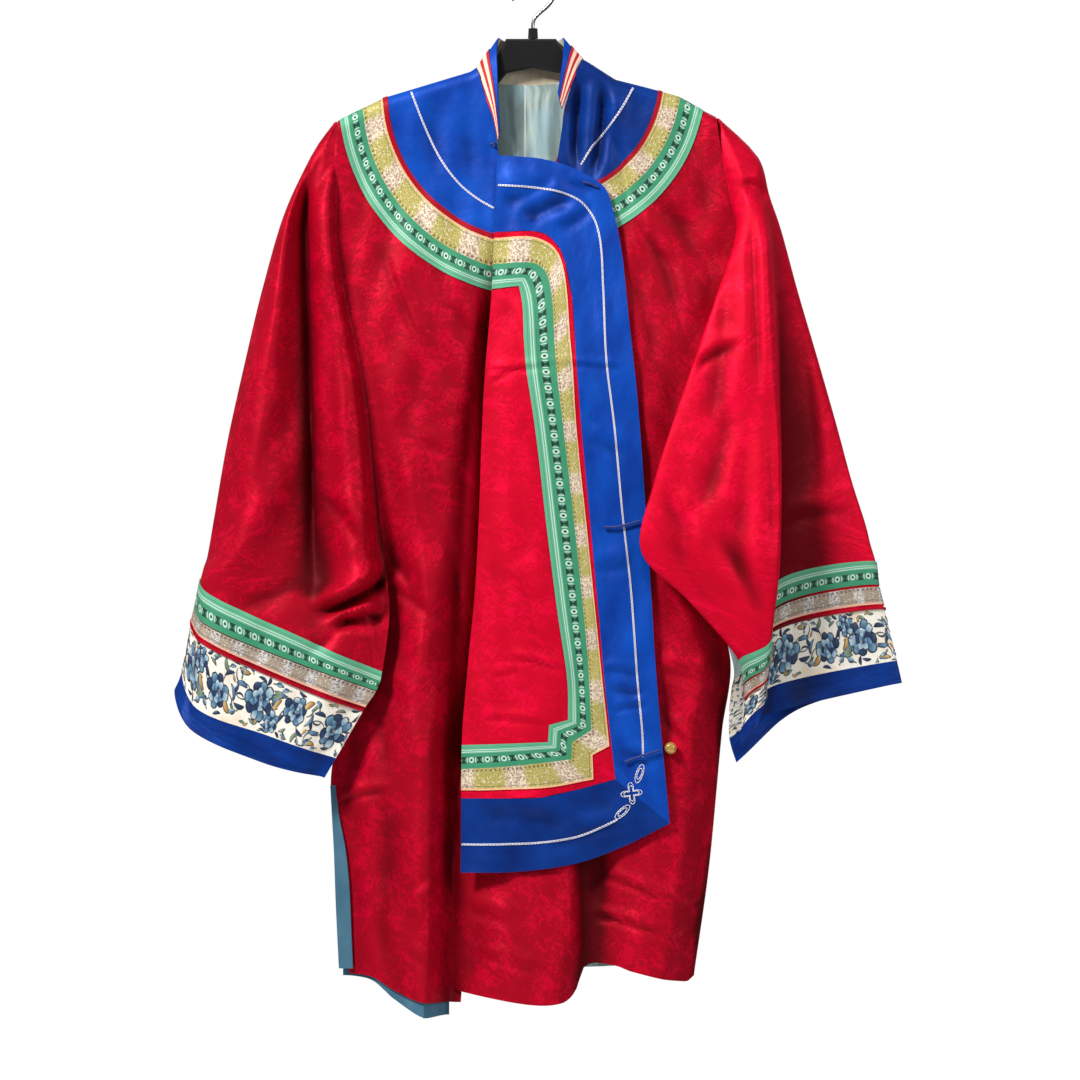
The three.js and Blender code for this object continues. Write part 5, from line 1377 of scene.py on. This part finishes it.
def embroidered(name, grid, uv, sign, nodes):
    """The ivory band with its stitches: the band is one piece of cloth, and the stitches are a mesh of their
    own.
    """
    band = wall(name, grid, ivory, ivory_inside, sign=sign, uv=uv)
    for material in threads:
        band.data.materials.append(material)
    length = float(arc_lengths(grid)[0].mean(axis=0)[-1])
    points, faces, slots, flat = [], [], [], []
    cell = np.arange(ALONG * ACROSS).reshape(ALONG, ACROSS)
    quads = np.stack([cell[:-1, :-1], cell[:-1, 1:], cell[1:, 1:], cell[1:, :-1]], axis=2).reshape(-1, 4)
    under = quads[:, ::-1] + ALONG * ACROSS
    rim = [*cell[0, ::-1], *cell[:, 0], *cell[-1, :], *cell[::-1, -1]]
    rim = [a for a, b in zip(rim, rim[1:] + rim[:1]) if a != b]
    sides = np.array([[b, a, a + ALONG * ACROSS, b + ALONG * ACROSS] for a, b in zip(rim, rim[1:] + rim[:1])])
    sides = sides[:, ::-1]
    closed = np.concatenate([quads, under, sides])
    s, w = np.meshgrid(np.linspace(0, 100, ALONG), np.linspace(0, 60, ACROSS), indexing="ij")
    for pu, pv, dome, slot in spray_patches(length):
        upper = lay_on(grid, sign, pu, pv, dome + 0.1)
        lower = lay_on(grid, sign, pu, pv, np.full(pu.shape, 0.02))
        start = len(points) * 2 * ALONG * ACROSS
        points.append(np.concatenate([upper.reshape(-1, 3), lower.reshape(-1, 3)]))
        area = np.sum(np.gradient(pu, axis=0) * np.gradient(pv, axis=1)
                      - np.gradient(pu, axis=1) * np.gradient(pv, axis=0))
        turned = closed if area * sign < 0 else closed[:, ::-1]
        faces.append(turned + start)
        slots.append(np.full(len(closed), slot + 2))
        flat.append(np.tile(np.stack([s.ravel(), w.ravel()], axis=1), (2, 1)))
    stitches = bpy.data.meshes.new(name + "_stitches")
    stitches.from_pydata((np.concatenate(points) / 1000).tolist(), [], np.concatenate(faces).tolist())
    layer = stitches.uv_layers.new(name="cloth")
    corners = np.empty(len(stitches.loops), dtype=np.int32)
    stitches.loops.foreach_get("vertex_index", corners)
    layer.data.foreach_set("uv", (np.concatenate(flat)[corners] / 100).ravel())
    for material in band.data.materials:
        stitches.materials.append(material)
    stitches.polygons.foreach_set("material_index", np.concatenate(slots).astype(np.int32))
    stitches.polygons.foreach_set("use_smooth", np.ones(len(stitches.polygons), dtype=bool))
    stitches.set_sharp_from_angle(angle=math.radians(60))
    sewn = bpy.data.objects.new(name + "_stitches", stitches)
    bpy.context.collection.objects.link(sewn)
    dressed(sewn, [])
    print(name, "patches:", len(points))
    return cloth_piece(band, grid, nodes, ribbon_cut(grid, 56))


for side, grid in band_grids.items():
    embroidered(f"cuff_band_{side}_silk", grid, around(grid), sleeves[side]["sign"], f"cuff_band_{side}")

# %% [markdown]
# ## The flap
# The flap's red ground is framed by the ribbons and then by the blue border, which is cut in two strips and
# mitred at the lower corner. Every strip is ruled between two lines and laid on the flap's own surface. Each
# point of a line is its x and its distance down, in millimetres.

# %% Lines of the flap
border_inner = [
    [-38.6, 263], [0, 262], [12, 265], [20, 271], [27, 280], [32, 293], [39, 329], [43, 390], [48, 457],
    [57, 553], [65, 640], [72, 720], [82, 808],
]
border_outer = [
    [-36, 186], [10, 190], [35, 197], [58, 208], [72, 219], [79, 238], [88, 280], [95, 345], [104, 430],
    [111, 522], [118, 630], [123, 710], [136, 852],
]
bottom_inner = [[82, 808], [45, 818], [8, 826], [-26, 827], [-50, 827], [-72, 827]]
bottom_outer = [[136, 852], [92, 874], [46, 891], [-14, 900], [-52, 901], [-72, 901]]
green_inner = [
    [-41.1, 320], [-14, 317], [-11, 333], [-7, 396], [2, 457], [13, 553], [24, 640], [34, 710], [35, 749],
    [16, 754], [15, 771], [-12, 772], [-38, 773], [-55, 773.6], [-71.2, 774],
]
gold_inner = [
    [-39.8, 295], [3, 295], [14, 306], [23, 396], [30, 457], [41, 553], [50, 640], [56, 710], [58, 759],
    [39, 771], [38, 788], [6, 792], [-36, 796], [-54, 797], [-71.4, 798],
]
gold_outer = [
    [-38.8, 269], [4, 269], [25, 284], [38, 380], [43, 457], [53, 553], [62, 640], [69, 710], [76, 775],
    [59, 784], [60, 808], [16, 816], [-34, 818.5], [-53, 819], [-71.6, 819],
]
CORNERS = (1, 8, 9, 10)


def path_of(points, corners=()):
    """A line read by its share of the way, point by point: fair between corners, and sharp at them."""
    points = np.array(points, float)
    stops = sorted({0, *corners, len(points) - 1})

    def read(share):
        place = np.clip(share, 0, 1) * (len(points) - 1)
        found = np.zeros((len(place), 2))
        for a, b in zip(stops, stops[1:]):
            here = (place >= a) & (place <= b)
            if here.any():
                found[here] = fair_curve(points[a:b + 1], (place[here] - a) / (b - a))
        return found

    return read


def shares_of(points, pitch):
    """Shares along a line about 'pitch' mm apart, with every listed point among them."""
    lengths = np.linalg.norm(np.diff(np.array(points, float), axis=0), axis=1)
    shares = []
    for i, length in enumerate(lengths):
        count = max(2, round(length / pitch))
        shares += [(i + k / count) / len(lengths) for k in range(count)]
    return np.array([*shares, 1.0])


def strip_grid(inner, outer, shares, columns, depth):
    a = inner(shares)
    b = outer(shares)
    across = np.linspace(0, 1, columns)[None, :, None]
    line = mix(a[:, None, :], b[:, None, :], across)
    x, down = line[..., 0], line[..., 1]
    return np.stack([x, depth(x, down), -down], axis=2)


def along(grid, flip=False):
    """UV for a strip whose rows run along it: u along it in mm, v across it from 0 to 100."""
    _, v = arc_lengths(grid)
    u = np.broadcast_to(v.mean(axis=1)[:, None], v.shape)
    v = np.broadcast_to(np.linspace(0, 100, grid.shape[1])[None, :], u.shape)
    return (u, 100 - v) if flip else (u, v)


def clear_of_seam(read):
    def kept(share):
        found = read(share)
        found[:, 0] = np.maximum(found[:, 0], seam_x(found[:, 1]))
        return found
    return kept


# %% Flap ground and borders
ground_right = table(["down", "x"], [
    [280, 26.9], [293, 31.9], [329, 38.9], [390, 42.9], [457, 47.9], [553, 56.9], [640, 64.9], [720, 71.9],
    [808, 81.9],
])
ground_top = table(["x", "down"], [[-36, 263.1], [0, 262.1], [12, 265.1], [20, 271.1], [26, 279.5]])
ground_hem = table(["x", "down"], [[-70, 826.9], [-30, 826.9], [8, 825.9], [45, 817.9], [81, 808]])
ground_grid = panel_grid(
    seam_x, run_of(ground_right, "down", "x"), run_of(ground_top, "x", "down"),
    run_of(ground_hem, "x", "down"), 44, 180, flap_y,
)
# painted light: the flap's ground takes the brighter copy of the damask
ground = wall("flap_ground_silk", ground_grid, crimson_lit, lining, sign=side_of(ground_grid, -1))
cloth_piece(ground, ground_grid, "flap_ground", (150, 560))
side_grid = strip_grid(
    clear_of_seam(path_of(border_inner)), clear_of_seam(path_of(border_outer)),
    shares_of(border_outer, 3.2), 22, flap_y,
)
border_side = wall("flap_border_side_satin", side_grid, blue, lining, sign=side_of(side_grid, -1),
                   uv=along(side_grid))
cloth_piece(border_side, side_grid, "flap_border_side", (150, 690))
hem_grid = strip_grid(
    clear_of_seam(path_of(bottom_inner)), clear_of_seam(path_of(bottom_outer)),
    shares_of(bottom_outer, 3.2), 22, flap_y,
)
# painted shade: the lower strip of the border takes the darker copy of the blue
border_hem = wall("flap_border_hem_satin", hem_grid, blue_shaded, lining, sign=side_of(hem_grid, -1),
                  uv=along(hem_grid))
cloth_piece(border_hem, hem_grid, "flap_border_hem", (84, 220))

# %% Flap ribbons
green_grid = strip_grid(
    clear_of_seam(path_of(green_inner, CORNERS)), clear_of_seam(path_of(gold_inner, (8, 9, 10))),
    shares_of(gold_inner, 3), 9, flap_y,
)
gold_grid = strip_grid(
    clear_of_seam(path_of(gold_inner, (8, 9, 10))), clear_of_seam(path_of(gold_outer, (8, 9, 10))),
    shares_of(gold_inner, 3), 9, flap_y,
)
for name, grid, finish, slot, flip, width in (
    ("green", green_grid, green, "green_ribbon", True, 26),
    ("gold", gold_grid, gold, "gold_brocade", False, 23),
):
    ribbon_piece = wall(f"flap_ribbon_{name}_weave", grid, finish, sign=side_of(grid, -1), inwards=-LIFT,
                        outwards=LIFT + RIBBON, uv=along(grid, flip))
    cloth_piece(ribbon_piece, grid, f"flap_ribbon_{name}", ribbon_cut(grid, width))
    print("flap ribbon,", name, "mm long:", round(float(arc_lengths(grid)[1].max())))

# %% [markdown]
# ## Laid cord
# A pair of thin silver cords is couched on the blue, side by side. In the flap's lower corner the pair opens
# into two long eyes and a four-lobed knot. Every cord is a round tube that follows a line on the satin.

# %% Tubes along a line
def tube(name, points, radius, finish, sides=8):
    points = np.asarray(points, float)
    tangent = np.gradient(points, axis=0)
    tangent /= np.linalg.norm(tangent, axis=1, keepdims=True)
    up = np.array([0.0, -1.0, 0.0])
    across = np.cross(tangent, up)
    across /= np.maximum(np.linalg.norm(across, axis=1, keepdims=True), 1e-6)
    up = np.cross(across, tangent)
    turn = np.linspace(0, 2 * math.pi, sides, endpoint=False)
    ring = (points[:, None] + radius * (np.cos(turn)[None, :, None] * across[:, None]
                                        + np.sin(turn)[None, :, None] * up[:, None]))
    count = len(points)
    number = np.arange(count * sides).reshape(count, sides)
    after = np.roll(number, -1, axis=1)
    faces = np.stack([number[:-1], after[:-1], after[1:], number[1:]], axis=2).reshape(-1, 4).tolist()
    faces += [number[0, ::-1].tolist(), number[-1].tolist()]
    mesh = bpy.data.meshes.new(name)
    mesh.from_pydata((ring.reshape(-1, 3) / 1000).tolist(), [], faces)
    travelled = np.concatenate([[0], np.cumsum(np.linalg.norm(np.diff(points, axis=0), axis=1))])
    flat = np.stack([np.repeat(travelled, sides), np.tile(np.linspace(0, 100, sides), count)], axis=1)
    layer = mesh.uv_layers.new(name="cloth")
    corners = np.empty(len(mesh.loops), dtype=np.int32)
    mesh.loops.foreach_get("vertex_index", corners)
    layer.data.foreach_set("uv", (flat[corners] / 100).ravel())
    mesh.materials.append(finish)
    mesh.polygons.foreach_set("use_smooth", np.ones(len(faces), dtype=bool))
    mesh.set_sharp_from_angle(angle=math.radians(70))
    piece = bpy.data.objects.new(name, mesh)
    bpy.context.collection.objects.link(piece)
    return piece


def joined(name, parts):
    """Joins pieces into one object."""
    bpy.ops.object.select_all(action="DESELECT")
    for part in parts:
        part.select_set(True)
    bpy.context.view_layer.objects.active = parts[0]
    bpy.ops.object.join()
    parts[0].name = name
    bpy.ops.object.select_all(action="DESELECT")
    return parts[0]


STRAND = 0.5
HALF_PAIR = 0.54


def on_surface(line, depth, clear):
    """Lifts a flat line of x and down onto a sheet, with its middle 'clear' mm in front."""
    x, down = line[:, 0], line[:, 1]
    return np.stack([x, depth(x, down) - clear, -down], axis=1)


def cord_pair(name, line, depth, clear):
    """Two strands side by side along a line."""
    tangent = np.gradient(line, axis=0)
    tangent /= np.linalg.norm(tangent, axis=1, keepdims=True)
    normal = np.stack([-tangent[:, 1], tangent[:, 0]], axis=1)
    parts = []
    for k, way in ((1, HALF_PAIR), (2, -HALF_PAIR)):
        strand = on_surface(line + normal * way, depth, clear)
        parts.append(tube(f"{name}_{k}", strand, STRAND, silver_cord))
    print(name, "mm long:", round(float(np.linalg.norm(np.diff(line, axis=0), axis=1).sum())))
    return joined(name, parts)


# %% Cords on the flap and the yoke
side_cord = path_of([
    [-35, 216], [4, 219], [30, 224], [48, 233], [61, 250], [67, 272], [70, 320], [73, 390], [81, 457],
    [89, 543], [97, 614], [104, 710], [109, 765], [109.5, 786],
])(np.linspace(0, 1, 420))
hem_cord = path_of([[84, 848], [70, 855], [45, 865], [8, 871], [-24, 872.5], [-48, 873], [-71, 873]])(
    np.linspace(0, 1, 110))
ON_SATIN = STRAND * 0.9
dressed(cord_pair("flap_cord_side_pair", side_cord, flap_y, ON_SATIN), "flap_cord_side")
dressed(cord_pair("flap_cord_hem_pair", hem_cord, flap_y, ON_SATIN), "flap_cord_hem")
KNOT_X = 98
KNOT_DOWN = 822
KNOT_RADIUS = 7.0
KNOT_STRAND = STRAND * 0.9
turn = np.linspace(0, 2 * math.pi, 121)
knot_parts = []
for k, size in enumerate((1.0, 0.72)):
    reach = size * KNOT_RADIUS * (1 + 0.52 * np.cos(4 * turn + 0.5))
    lobes = np.stack([KNOT_X + reach * np.cos(turn), KNOT_DOWN + reach * np.sin(turn)], axis=1)
    knot_parts.append(tube(f"lobes_{k}", on_surface(lobes, flap_y, ON_SATIN), KNOT_STRAND, silver_cord))
for k, (cx, cd, lean) in enumerate(((106.0, 802.5, 1.9), (89.0, 840.5, 2.4))):
    along_eye = 9.5 * np.cos(turn)
    across_eye = 3.4 * np.sin(turn)
    eye = np.stack([cx + along_eye * math.cos(lean) - across_eye * math.sin(lean),
                    cd + along_eye * math.sin(lean) + across_eye * math.cos(lean)], axis=1)
    for size in (1.0, 0.6):
        raised = on_surface((eye - [cx, cd]) * size + [cx, cd], flap_y, ON_SATIN)
        knot_parts.append(tube(f"eye_{k}_{size}", raised, KNOT_STRAND, silver_cord))
dressed(joined("flap_cord_knot_lobes", knot_parts), "flap_cord_knot")
print("with the flap:", total_triangles, "triangles")

# %% [markdown]
# ## The yoke
# The round blue yoke lies on the shoulders about the neck. It is edged by a red piping, the gold brocade and
# the green ribbon, each a ring whose ends follow the shoulder line.

# %% Rings of the yoke
YOKE_X = -2
YOKE_DOWN = 120
RIDGE_CLEAR = 0.9


def shoulder_angle(radius, sign):
    angle = 0.0
    for _ in range(20):
        x = YOKE_X + sign * radius * math.cos(angle)
        low = (float(shoulder_down(x)) + RIDGE_CLEAR - YOKE_DOWN) / radius
        angle = mix(angle, math.asin(min(max(low, -0.95), 0.95)), 0.6)
    return angle


def ring_line(side, ring):
    start, end = ring
    sign = side["sign"]

    def read(share):
        radius = mix(start, end, share)
        angle = mix(shoulder_angle(start, sign), side["end_angle"](end), share)
        return np.stack([YOKE_X + sign * radius * np.cos(angle), YOKE_DOWN + radius * np.sin(angle)], axis=1)

    return read


def yoke_grid(inner, outer, shares, columns, depth, fade, both_ends=False):
    across = np.linspace(0, 1, columns)[None, :]

    def ruled(share):
        a, b = inner(share), outer(share)
        return mix(a[:, None, :], b[:, None, :], across[..., None])

    def short(end):
        line = ruled(np.array([end]))[0]
        return shoulder_down(line[:, 0]) + RIDGE_CLEAR - line[:, 1]

    line = ruled(shares)
    ease = (1 - smooth(shares / fade))[:, None]
    down = line[..., 1] + short(0.0) * ease
    if both_ends:
        down = down + short(1.0) * (1 - smooth((1 - shares) / fade))[:, None]
    x = line[..., 0]
    return np.stack([x, depth(x, down), -down], axis=2)


near = [0, 0.003, 0.008, 0.016, 0.03, 0.05]
yoke_shares = np.array([*near, *np.linspace(0.07, 1, 64)])
yoke_sides = {
    "right": dict(
        sign=-1, depth=right_front_y,
        rings={"blue": [143, 149], "gold": [148, 154], "green": [169, 181], "edge": [193, 205]},
        end_angle=lambda radius: math.acos(
            min(max((YOKE_X - float(seam_x(YOKE_DOWN + radius)) - 1.6) / radius, -1), 1)),
        neck=[[-56, 101], [-49, 122], [-43, 139], [-38.5, 154], [-36.5, 167], [-34.4, 188]],
    ),
    "left": dict(
        sign=1, depth=under_front_y,
        rings={"blue": [127, 112], "gold": [131, 116], "green": [149, 136], "edge": [173, 163]},
        end_angle=lambda radius: 1.02,
        neck=[[48.5, 93], [42, 106], [36, 123], [31.5, 140], [28, 165], [24, 192]],
    ),
}
print("the yoke reaches down to, mm:", YOKE_DOWN + yoke_sides["right"]["rings"]["edge"][1])
yoke_trims = [
    ("piping", "blue", "gold", 4, red_cord, "red_piping", 1.3, True, 5),
    ("gold", "gold", "green", 9, gold, "gold_brocade", RIBBON, True, 24),
    ("green", "green", "edge", 9, green, "green_ribbon", RIBBON, False, 27),
]
for side, yoke in yoke_sides.items():
    rings = yoke["rings"]
    depth = yoke["depth"]
    grid = yoke_grid(path_of(yoke["neck"]), ring_line(yoke, rings["blue"]), yoke_shares, 34, depth, 0.4)
    # painted shade: the wearer's left half takes the darker copy of the blue
    satin_used = blue if side == "right" else blue_shaded
    piece = wall(f"yoke_{side}_satin", grid, satin_used, satin_used, sign=side_of(grid, -1), inwards=-LIFT,
                 outwards=LIFT + RIBBON)
    cloth_piece(piece, grid, f"yoke_{side}", panel_cut(grid))
    for name, start, end, columns, finish, slot, thick, flip, width in yoke_trims:
        grid = yoke_grid(ring_line(yoke, rings[start]), ring_line(yoke, rings[end]), yoke_shares, columns,
                         depth, 0.4)
        piece = wall(f"yoke_{name}_{side}_weave", grid, finish, sign=side_of(grid, -1), inwards=-LIFT,
                     outwards=LIFT + thick, uv=along(grid, flip))
        cloth_piece(piece, grid, f"yoke_{name}_{side}", ribbon_cut(grid, width))

# %% The yoke's back
back_neck = [
    [-61, 104], [-57, 108], [-50, 112], [-38, 115], [-20, 116.5], [-2, 117], [14, 116], [28, 114],
    [42, 109], [50, 102], [54.5, 95],
]


def back_ring(start, low, end):
    begin = math.pi - shoulder_angle(start, -1)
    finish_angle = shoulder_angle(end, 1)

    def read(share):
        angle = mix(begin, finish_angle, share)
        falling = mix(start, low, smooth(share * 2))
        rising = mix(low, end, smooth(share * 2 - 1))
        radius = np.where(share < 0.5, falling, rising)
        return np.stack([YOKE_X + radius * np.cos(angle), YOKE_DOWN + radius * np.sin(angle)], axis=1)

    return read


back_shares = np.array([0, 0.003, 0.01, 0.025, *np.linspace(0.04, 0.96, 110), 0.975, 0.99, 0.997, 1])
back_trims = [
    ("yoke_back", path_of(back_neck), back_ring(142.5, 146, 126.5), 30, blue, "blue_satin",
     RIBBON, False, 170),
    ("yoke_piping_back", back_ring(143, 146.5, 127), back_ring(147.5, 151, 130.5), 4, red_cord, "red_piping",
     1.3, True, 6),
    ("yoke_gold_back", back_ring(148, 151.5, 131), back_ring(168.5, 172, 148.5), 9, gold, "gold_brocade",
     RIBBON, True, 24),
    ("yoke_green_back", back_ring(169, 172.5, 149), back_ring(193, 196, 173), 9, green, "green_ribbon",
     RIBBON, False, 27),
]
for node, inner, outer, columns, finish, slot, thick, flip, width in back_trims:
    grid = yoke_grid(inner, outer, back_shares, columns, back_y, 0.2, True)
    piece = wall(f"{node}_weave", grid, finish, sign=side_of(grid, 1), inwards=-LIFT, outwards=LIFT + thick,
                 uv=along(grid, flip))
    cloth_piece(piece, grid, node, ribbon_cut(grid, width))

ON_YOKE = LIFT + RIBBON + STRAND * 0.9
yoke_cords = [
    ("right", right_front_y, 120, [
        [-121.5, 122.5], [-118, 132], [-106, 162], [-92, 190], [-74, 214], [-56, 229], [-39, 239],
    ]),
    ("left", under_front_y, 90, [[100, 118.5], [88, 140], [72, 162], [60, 176], [48, 195]]),
]
for side, depth, count, points in yoke_cords:
    line = path_of(points)(np.linspace(0, 1, count))
    dressed(cord_pair(f"yoke_cord_{side}_pair", line, depth, ON_YOKE), f"yoke_cord_{side}")
print("with the yoke:", total_triangles, "triangles")

# %% [markdown]
# ## Collar and fastenings
# The small stand collar is a band from its foot on the neck line to its top edge. A peach and red braid is
# sewn along its foot. Loops of navy cord and one brass ball button close the flap.

# %% Collar
collar = table(["foot", "top"], [
    [[-34.5, 172, -17], [-33.5, 160, -18]],
    [[-39.5, 150, -15], [-35, 130, -17]],
    [[-47.5, 130, -12.5], [-36, 100, -14]],
    [[-55, 112, -8], [-36.5, 79, -9]],
    [[-58.8, 101.9, 0], [-35, 68, -1]],
    [[-51.5, 106.5, 8.4], [-30, 70, 7]],
    [[-32, 113.4, 12.8], [-18, 73, 11]],
    [[-2, 116, 13.2], [-2, 74, 12]],
    [[25, 112, 12.8], [14, 73, 11]],
    [[43, 102, 8.4], [26, 70, 7]],
    [[51.6, 92.0, 0], [31, 68, -1]],
    [[43, 106, -9], [31, 82, -10]],
    [[35, 124, -13], [28.5, 102, -14]],
    [[29, 140, -15.5], [25, 124, -16.5]],
])


def collar_grid(low, high, rows, columns):
    t = np.linspace(0, 1, columns)
    foot = fair_curve([[x, y, -down] for x, down, y in (row["foot"] for row in collar)], t)
    top = fair_curve([[x, y, -down] for x, down, y in (row["top"] for row in collar)], t)
    levels = np.linspace(low, high, rows)[:, None, None]
    return mix(foot[None], top[None], levels)


grid = collar_grid(0, 1, 16, 150)
piece = wall("collar_satin", grid, blue, collar_lining, sign=-1)
cloth_piece(piece, grid, "collar", (300, 42))
grid = collar_grid(0.03, 0.66, 7, 150)
piece = wall("collar_braid_weave", grid, peach_braid, sign=-1, inwards=-0.5, outwards=0.5 + RIBBON,
             uv=around(grid))
cloth_piece(piece, grid, "collar_braid", (300, 13))

print("collar's height at the neck's side, mm:", collar[4]["foot"][1] - collar[4]["top"][1])

# %% Loops
LOOP_CORD = 2.6
OVER_CORD = 2.4 + LOOP_CORD / 2
loops = table(["node", "points", "depth", "clear"], [
    ["loop_middle", [[70, 557], [82, 557], [96, 554], [106, 551]], flap_y, OVER_CORD],
    ["loop_lower", [[91, 791], [101, 787], [116, 782], [126, 779]], flap_y, OVER_CORD],
    ["loop_collar", [[-42, 176], [-40, 173], [-38.6, 178]], right_front_y, OVER_CORD],
    ["loop_neck", [[50, 213], [57, 215], [64, 218]], flap_y, 0.5 + LOOP_CORD / 2],
])
for loop in loops:
    line = path_of(loop["points"])(np.linspace(0, 1, 40))
    cord = tube(loop["node"] + "_cord", on_surface(line, loop["depth"], loop["clear"]), LOOP_CORD / 2,
                navy_cord, 12)
    dressed(cord, loop["node"])
    print(loop["node"], "mm long:", round(float(np.linalg.norm(np.diff(line, axis=0), axis=1).sum())))

# %% [markdown]
# The ball button is turned from a sphere: its front pole is pressed in to a small dimple.

# %% Ball button
BUTTON = 12.0
button_x = 137.0
button_down = 777.0
button_y = float(under_front_y(np.array(button_x), np.array(button_down))) - BUTTON / 2 - LIFT
bpy.ops.mesh.primitive_uv_sphere_add(
    segments=40, ring_count=20, radius=BUTTON / 2000,
    location=(button_x / 1000, button_y / 1000, -button_down / 1000), rotation=(math.pi / 2, 0, 0),
)
button = bpy.context.active_object
button.name = "ball_button_brass"
bpy.ops.object.transform_apply(location=True, rotation=True, scale=True)
bpy.ops.object.mode_set(mode="EDIT")
bpy.ops.mesh.select_mode(type="FACE")
bpy.ops.mesh.select_all(action="DESELECT")
bpy.ops.object.mode_set(mode="OBJECT")
for face in button.data.polygons:
    face.select = face.center.y < (button_y - 0.43 * BUTTON) / 1000
bpy.ops.object.mode_set(mode="EDIT")
bpy.ops.mesh.inset(thickness=0.0006, depth=0.0)
bpy.ops.transform.translate(value=(0, 0.0011, 0))
bpy.ops.object.mode_set(mode="OBJECT")
bpy.ops.object.shade_smooth()
button.data.materials.append(brass)
bpy.ops.object.select_all(action="DESELECT")
dressed(button, "ball_button")
print("ball button, mm:", BUTTON)

# %% [markdown]
# ## Hanger and hook
# The black hanger is plain, and the frame's own solid shows it well: it only takes a flocked finish. The
# hook is bent again from round wire, finer than in the frame.

# %% Hanger and hook
for node in ("hanger", "hook_socket"):
    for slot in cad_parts[node].material_slots:
        slot.material = flock
HOOK_WIRE = 3.6
HOOK_INSIDE = 20
HOOK_START = -1.15
HOOK_END = math.pi + 0.5
hook_radius = HOOK_INSIDE + HOOK_WIRE / 2
stem_points = [[0, 0, -58.1], [0, 0, -54], [2, 0, -48]]
bend_points = []
for share in np.linspace(0, 1, 15)[1:]:
    angle = mix(HOOK_START, HOOK_END, share)
    bend_points.append([hook_radius * math.cos(angle), 0, hook_radius * math.sin(angle) - HOOK_INSIDE])
hook_line = fair_curve([*stem_points, *bend_points], np.linspace(0, 1, 130))
hook = tube("hook_wire", hook_line, HOOK_WIRE / 2, steel, 16)
dressed(hook, "hook")
print("whole robe:", total_triangles, "triangles")

# %% [markdown]
# ## Floor and light
# The robe hangs before plain white. A pale floor lies below the hem, out of the picture's frame. A soft light
# stands high on the left, a weaker and larger one on the right, and one behind the robe. The camera sees the
# surroundings as plain white, but what lights the robe is a dimmer grey sky, so the folds keep their shadows.

# %% Floor
FLOOR_Z = -1.5
bpy.ops.mesh.primitive_plane_add(size=2.4, location=(0, 0, FLOOR_Z))
floor = bpy.context.active_object
floor.name = "floor"
floor.data.materials.append(Finish("pale_floor", colour(236, 236, 236), 0.9).material)

# %% Surroundings
world = bpy.data.worlds.new("studio")
bpy.context.scene.world = world
world.use_nodes = True
nodes = world.node_tree.nodes
links = world.node_tree.links
plain = nodes["Background"]
plain.inputs["Color"].default_value = (1, 1, 1, 1)
plain.inputs["Strength"].default_value = 1.0
dim = nodes.new("ShaderNodeBackground")
dim.inputs["Strength"].default_value = 1.0
direction = nodes.new("ShaderNodeTexCoord")
split = nodes.new("ShaderNodeSeparateXYZ")
links.new(direction.outputs["Generated"], split.inputs["Vector"])
ramp = nodes.new("ShaderNodeValToRGB")
height = nodes.new("ShaderNodeMath")
height.operation = "MULTIPLY_ADD"
height.inputs[1].default_value = 0.5
height.inputs[2].default_value = 0.5
links.new(split.outputs["Z"], height.inputs[0])
links.new(height.outputs[0], ramp.inputs["Fac"])
ramp.color_ramp.elements[0].position = 0.2
ramp.color_ramp.elements[0].color = (0.04, 0.04, 0.045, 1)
ramp.color_ramp.elements[1].position = 0.95
ramp.color_ramp.elements[1].color = (0.36, 0.37, 0.38, 1)
links.new(ramp.outputs["Color"], dim.inputs["Color"])
seen = nodes.new("ShaderNodeLightPath")
either = nodes.new("ShaderNodeMixShader")
links.new(seen.outputs["Is Camera Ray"], either.inputs["Fac"])
links.new(dim.outputs["Background"], either.inputs[1])
links.new(plain.outputs["Background"], either.inputs[2])
links.new(either.outputs["Shader"], nodes["World Output"].inputs["Surface"])


# %% Lights
def soft_light(name, place, size, power, aim=(0, 0, -0.55)):
    data = bpy.data.lights.new(name, "AREA")
    data.shape = "DISK"
    data.size = size
    data.energy = power
    lamp = bpy.data.objects.new(name, data)
    lamp.location = place
    towards = np.array(aim) - np.array(place)
    flat = math.hypot(towards[0], towards[1])
    lamp.rotation_euler = (math.pi / 2 + math.atan2(towards[2], flat), 0,
                           math.atan2(towards[1], towards[0]) - math.pi / 2)
    bpy.context.collection.objects.link(lamp)


soft_light("key", (-1.65, -1.8, 1.4), 0.7, 118, (0, 0, -0.2))
soft_light("fill", (2.3, -2.0, 0.6), 1.6, 34, (0, 0, -0.3))
soft_light("behind", (0.6, 2.4, 1.2), 1.6, 20)
bpy.context.scene.view_settings.view_transform = "Standard"
print("lights:", len(bpy.data.lights))
